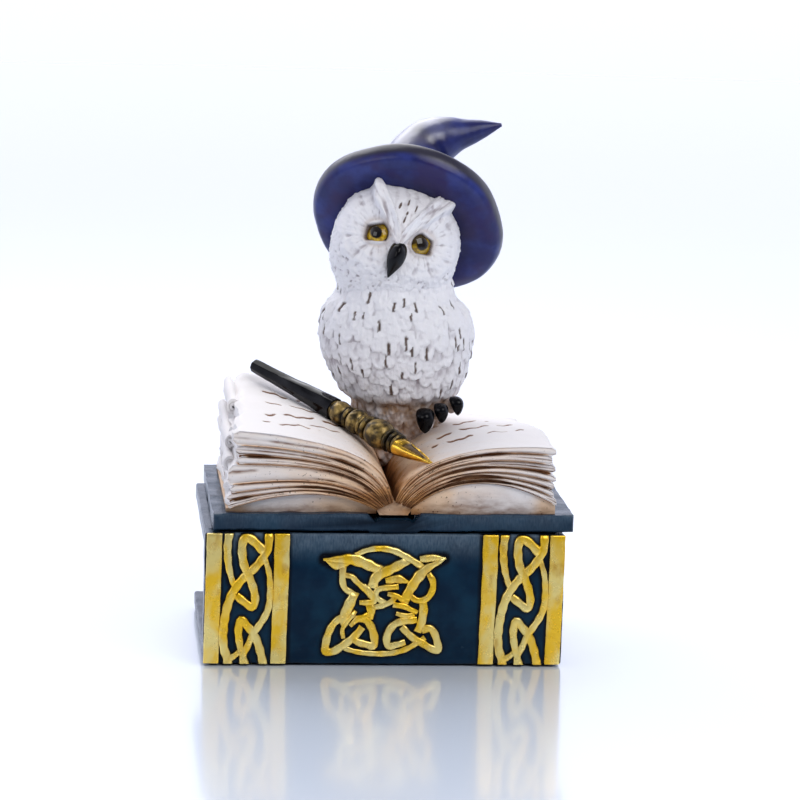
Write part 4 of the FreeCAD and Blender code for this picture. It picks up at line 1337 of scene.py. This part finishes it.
def wizard_hat():
    """Brim and bent crown, one stack of rings from under the brim to the tip."""
    around = circle(260)
    brim = curve_through(brim_section, 110)
    wave = 0.5 * np.sin(around * 2 + 0.6) + 0.35 * np.sin(around * 3 + 1.0)
    rings = []
    marks = []
    gloss = []
    # the brim is cut a little short over the face, at the right of it and at the lower right
    short = 0.03 * hump(around, math.pi, 0.6) + 0.05 * hump(around, 0.7 * math.pi, 0.4)
    short = short + 0.045 * hump(around, 0.25 * math.pi, 0.35) + 0.05 * hump(around, 1.27 * math.pi, 0.4)
    short = short + 0.03 * hump(around, 1.7 * math.pi, 0.35)
    for number, (r, h) in enumerate(brim):
        sway = ease(r, 14, 31) * wave
        reach = r * (1 - short * ease(r, 12, 30))
        local = points_of(reach * np.sin(around), reach * np.cos(around), h + sway)
        rings.append(brim_centre + local @ hat_axes.T)
        # painted shade: nearly black on the upturned rim and under the brim next to the head
        upper = ease(h, 2.2, 4.0) * (number > len(brim) * 0.4)
        marks.append(max(upper, 0.6 * (1 - ease(r, 16, 27)) * (h < 2)))
        gloss.append(around * 0 + 0.03 + 0.22 * upper)
    path = curve_through([p[:3] for p in crown_path], 150) * head_radius + head_centre
    sizes = curve_through([(k, p[3]) for k, p in enumerate(crown_path)], 150)[:, 1] * head_radius
    right, up = hat_axes[:, 0], hat_axes[:, 2]
    run = np.gradient(path, axis=0)
    run /= np.linalg.norm(run, axis=1, keepdims=True)
    straight = 12  # rings over which the crown turns from the brim's axis to its own
    for k in range(len(path)):
        axis = run[k] if k > straight else up + (run[k] - up) * k / straight
        axis = axis / np.linalg.norm(axis)
        right = right - axis * (right @ axis)
        right /= np.linalg.norm(right)
        ahead = np.cross(axis, right)
        share = k / (len(path) - 1)
        crease = 0.10 * hump(share, 0.52, 0.07) * (1 + np.cos(around - 1.9)) + 0.05 * hump(share, 0.38, 0.05)
        swell = 1 - crease + 0.018 * np.sin(around * 3 + share * 9) + 0.012 * np.sin(share * 40 + around)
        size = max(sizes[k], 0.5) * swell
        ring = path[k] + np.outer(size * np.sin(around), right) + np.outer(size * np.cos(around), ahead)
        rings.append(ring)
        # painted shade where the crown leaves the brim and in the crown's bend
        marks.append(0.8 * hump(share, 0.03, 0.03) + 0.5 * hump(share, 0.52, 0.03))
        lit = (ring - path[k]) @ varnished / max(size.mean(), 0.5)
        gloss.append(0.05 + 0.95 * ease(lit, 0.1, 0.7) * (1 - ease(share, 0.58, 0.75)))
    rings = np.array(rings)
    brushed = 0.12 * noise(rings, 5, 91, 2) + 0.03 * noise(rings * [1, 1, 0.3], 1.2, 92, 2)
    rings = rings + outward(rings) * brushed[..., None]
    fold = np.broadcast_to(np.array(marks)[:, None], rings.shape[:2])
    shell = tube(rings, fold=fold, gloss=np.array(gloss))
    make("wizard_hat", [shell], "lid", "wizard_hat", hat_blue, sharp=60)


# ---- pen


pen_tip = np.array([gutter_x + 11.8, cover_low[1] + 3.0, cover_top + 15.8])
pen_end = np.array([gutter_x - 40.9, cover_low[1] + 70.0, cover_top + 35.2])
nib_length = 15.2
grip_length = 31.8


def along_pen(stations, columns, shape):
    """Rings round the pen's axis at distances from its tip. shape gives (across, up) of a ring."""
    run = (pen_end - pen_tip) / np.linalg.norm(pen_end - pen_tip)
    side = np.cross(run, [0, 0, 1])
    side /= np.linalg.norm(side)
    up = np.cross(side, run)
    rings = []
    for distance in stations:
        across, high = shape(distance, circle(columns))
        rings.append(pen_tip + run * distance + np.outer(across, side) + np.outer(high, up))
    return np.array(rings)


def pen_nib():
    """Leaf-shaped gold nib, hollowed along the top."""

    def shape(distance, around):
        share = distance / nib_length
        half = 3.7 * share**0.8 + 0.25
        side = np.abs(np.sin(around))
        panel = 0.5 * (np.cos(around) > 0) * (1 - ease(side, 0.62, 0.8)) * ease(share, 0.1, 0.25)
        high = half * np.cos(around) * np.where(np.cos(around) > 0, 0.62, 0.85)
        return half * np.sin(around), high - panel * (1 - ease(share, 0.8, 0.9))

    stations = np.linspace(0, nib_length, 60)
    rings = along_pen(stations, 96, shape)
    around = circle(96)[None, :]
    share = stations[:, None] / nib_length
    inside = (np.cos(around) > 0) * (1 - ease(np.abs(np.sin(around)), 0.55, 0.75))
    field = inside * (ease(share, 0.12, 0.3) * (1 - ease(share, 0.8, 0.9)))
    shell = tube(wobble(rings, 2.5, 0.12, 96), groove=0.9 * field)
    make("pen_nib", [shell], "lid", "pen_nib", nib_metal)


def pen_grip():
    """Beads and rings turned on the grip. Each bead is a hump on a thin core."""
    beads = [  # distance from the nib, radius, half its length
        (0.8, 3.5, 0.7), (2.6, 3.7, 0.8), (4.6, 3.9, 0.8), (9.8, 4.8, 4.4), (15.3, 4.0, 0.9),
        (17.6, 3.5, 1.0), (20.6, 4.1, 2.5), (24.3, 3.5, 0.9), (28.4, 3.75, 2.9), (31.2, 3.2, 0.7),
    ]
    core = 2.7
    stations = np.linspace(0, grip_length, 260)
    radius = np.full(260, core)
    for middle, size, half in beads:
        inside = np.clip(1 - ((stations - middle) / half) ** 2, 0, None)
        radius = np.maximum(radius, core - 0.4 + (size - core + 0.4) * np.sqrt(inside))
    widths = dict(zip(np.round(stations, 6), radius))

    def shape(distance, around):
        r = widths[round(distance - nib_length, 6)]
        return r * np.sin(around), r * np.cos(around)

    rings = along_pen(stations + nib_length, 48, shape)
    rings = wobble(rings, 2.2, 0.13, 95)
    groove = np.maximum(1 - ease(radius, core + 0.05, core + 0.7), 0.8 * hump(stations, 3.6, 1.9))
    make("pen_grip", [tube(rings, groove=groove[:, None])], "lid", "pen_grip", bronze)


def pen_barrel():
    """Black barrel, hammered into shallow facets."""
    length = float(np.linalg.norm(pen_end - pen_tip))
    facet = 2 * math.pi / 7

    def shape(distance, around):
        share = (distance - nib_length - grip_length) / (length - nib_length - grip_length)
        taper = 2.35 + 1.35 * (1 - share) ** 1.4
        close = taper * (1 - 0.45 * ease(share, 0.975, 1.0))
        off_middle = (np.mod(around / facet + 0.012 * distance, 1.0) - 0.5) * facet
        where = points_of(distance * 0.12, 1.3 * np.cos(around), 1.3 * np.sin(around))
        r = close * (0.25 + 0.68 / np.cos(off_middle) + 0.11 * noise(where, 1.0, 97, 2))
        return r * np.sin(around), r * np.cos(around)

    rings = along_pen(np.linspace(nib_length + grip_length - 0.4, length, 150), 56, shape)
    make("pen_barrel", [tube(rings)], "lid", "pen_barrel", black)


# ---- pieces kept from the frame


def coat_frame_node(node, material):
    """Gives a CAD node that stays in sight its material."""
    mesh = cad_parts[node].data
    mesh.materials.clear()
    mesh.materials.append(material)


# ---- stage


def studio_walls():
    """White light from behind and low down, dim in front and overhead."""
    world = bpy.data.worlds.new("studio")
    world.use_nodes = True
    studio = Nodes(world.node_tree)
    ways = studio.add("SeparateXYZ", Vector=studio.add("TexCoord").outputs["Generated"])
    behind = studio.between(ways.outputs["Y"], -0.6, 0.5)
    overhead = studio.between(ways.outputs["Z"], 0.45, 0.8)
    level = studio.mix(behind, (0.15, 0.15, 0.175), (1.2, 1.24, 1.48))
    light = studio.mix(overhead, level, (0.25, 0.26, 0.31))
    studio.wire(light, world.node_tree.nodes["Background"].inputs["Color"])
    bpy.context.scene.world = world


def place_in_scene(obj):
    bpy.context.scene.collection.objects.link(obj)


def stage():
    """Glossy white table, studio walls and three softboxes."""
    mesh = bpy.data.meshes.new("floor")
    far = 12.0
    mesh.from_pydata([(-far, -far, 0), (far, -far, 0), (far, far, 0), (-far, far, 0)], [], [(0, 1, 2, 3)])
    floor = bpy.data.objects.new("floor", mesh)
    place_in_scene(floor)
    p = Paint("white_table", 0.2, specular=0.5, coat=0.8, coat_roughness=0.11)
    p.set(Base_Color=(0.80, 0.875, 0.985))
    mesh.materials.append(p.material)
    studio_walls()

    lights = [  # place, aim, size and power in watts
        ((0.34, -0.60, 0.66), (0, 0, 0.08), 0.62, 4.3),  # key, from the right
        ((-0.65, -0.45, 0.4), (0, 0, 0.08), 0.4, 1.0),  # fill, from the left
        ((-0.14, 0.44, 0.68), (0, 0, 0.10), 0.70, 4.0),  # from behind, over the hat
    ]
    for number, (place, aim, size, power) in enumerate(lights):
        lamp = bpy.data.lights.new(f"softbox_{number}", "AREA")
        lamp.size = size
        lamp.energy = power
        obj = bpy.data.objects.new(lamp.name, lamp)
        obj.location = place
        obj.rotation_euler = (Vector(aim) - Vector(place)).to_track_quat("-Z", "Y").to_euler()
        place_in_scene(obj)


def camera():
    """The view: a little to the left of square on and a little above, from 1.2 m, with a slight roll."""
    turn, rise, roll = math.radians(-5.37), math.radians(9.92), math.radians(1.5)
    distance = 1.2
    aim = Vector((7.03, 0, 77.67)) * MM
    back = Vector((math.sin(turn) * math.cos(rise), -math.cos(turn) * math.cos(rise), math.sin(rise)))
    level = (-back).cross(Vector((0, 0, 1))).normalized()
    top = level.cross(-back)
    right = level * math.cos(roll) + top * math.sin(roll)
    up = top * math.cos(roll) - level * math.sin(roll)
    data = bpy.data.cameras.new("camera")
    data.lens = 168.7
    data.sensor_width = 36
    data.clip_end = 30
    obj = bpy.data.objects.new("camera", data)
    axes = Matrix((right, up, back)).transposed().to_4x4()
    obj.matrix_world = Matrix.Translation(aim + back * distance) @ axes
    place_in_scene(obj)
    bpy.context.scene.camera = obj
    bpy.context.scene.view_settings.view_transform = "Standard"


camera()
stage()
closed_book()
open_book()
owl_body()
owl_head()
for side in words:
    owl_eye(side)
owl_beak()
feet()
owl_tail()
wizard_hat()
pen_nib()
pen_grip()
pen_barrel()
coat_frame_node("base_felt", felt_cloth)
coat_frame_node("lid_locating_plug", navy)
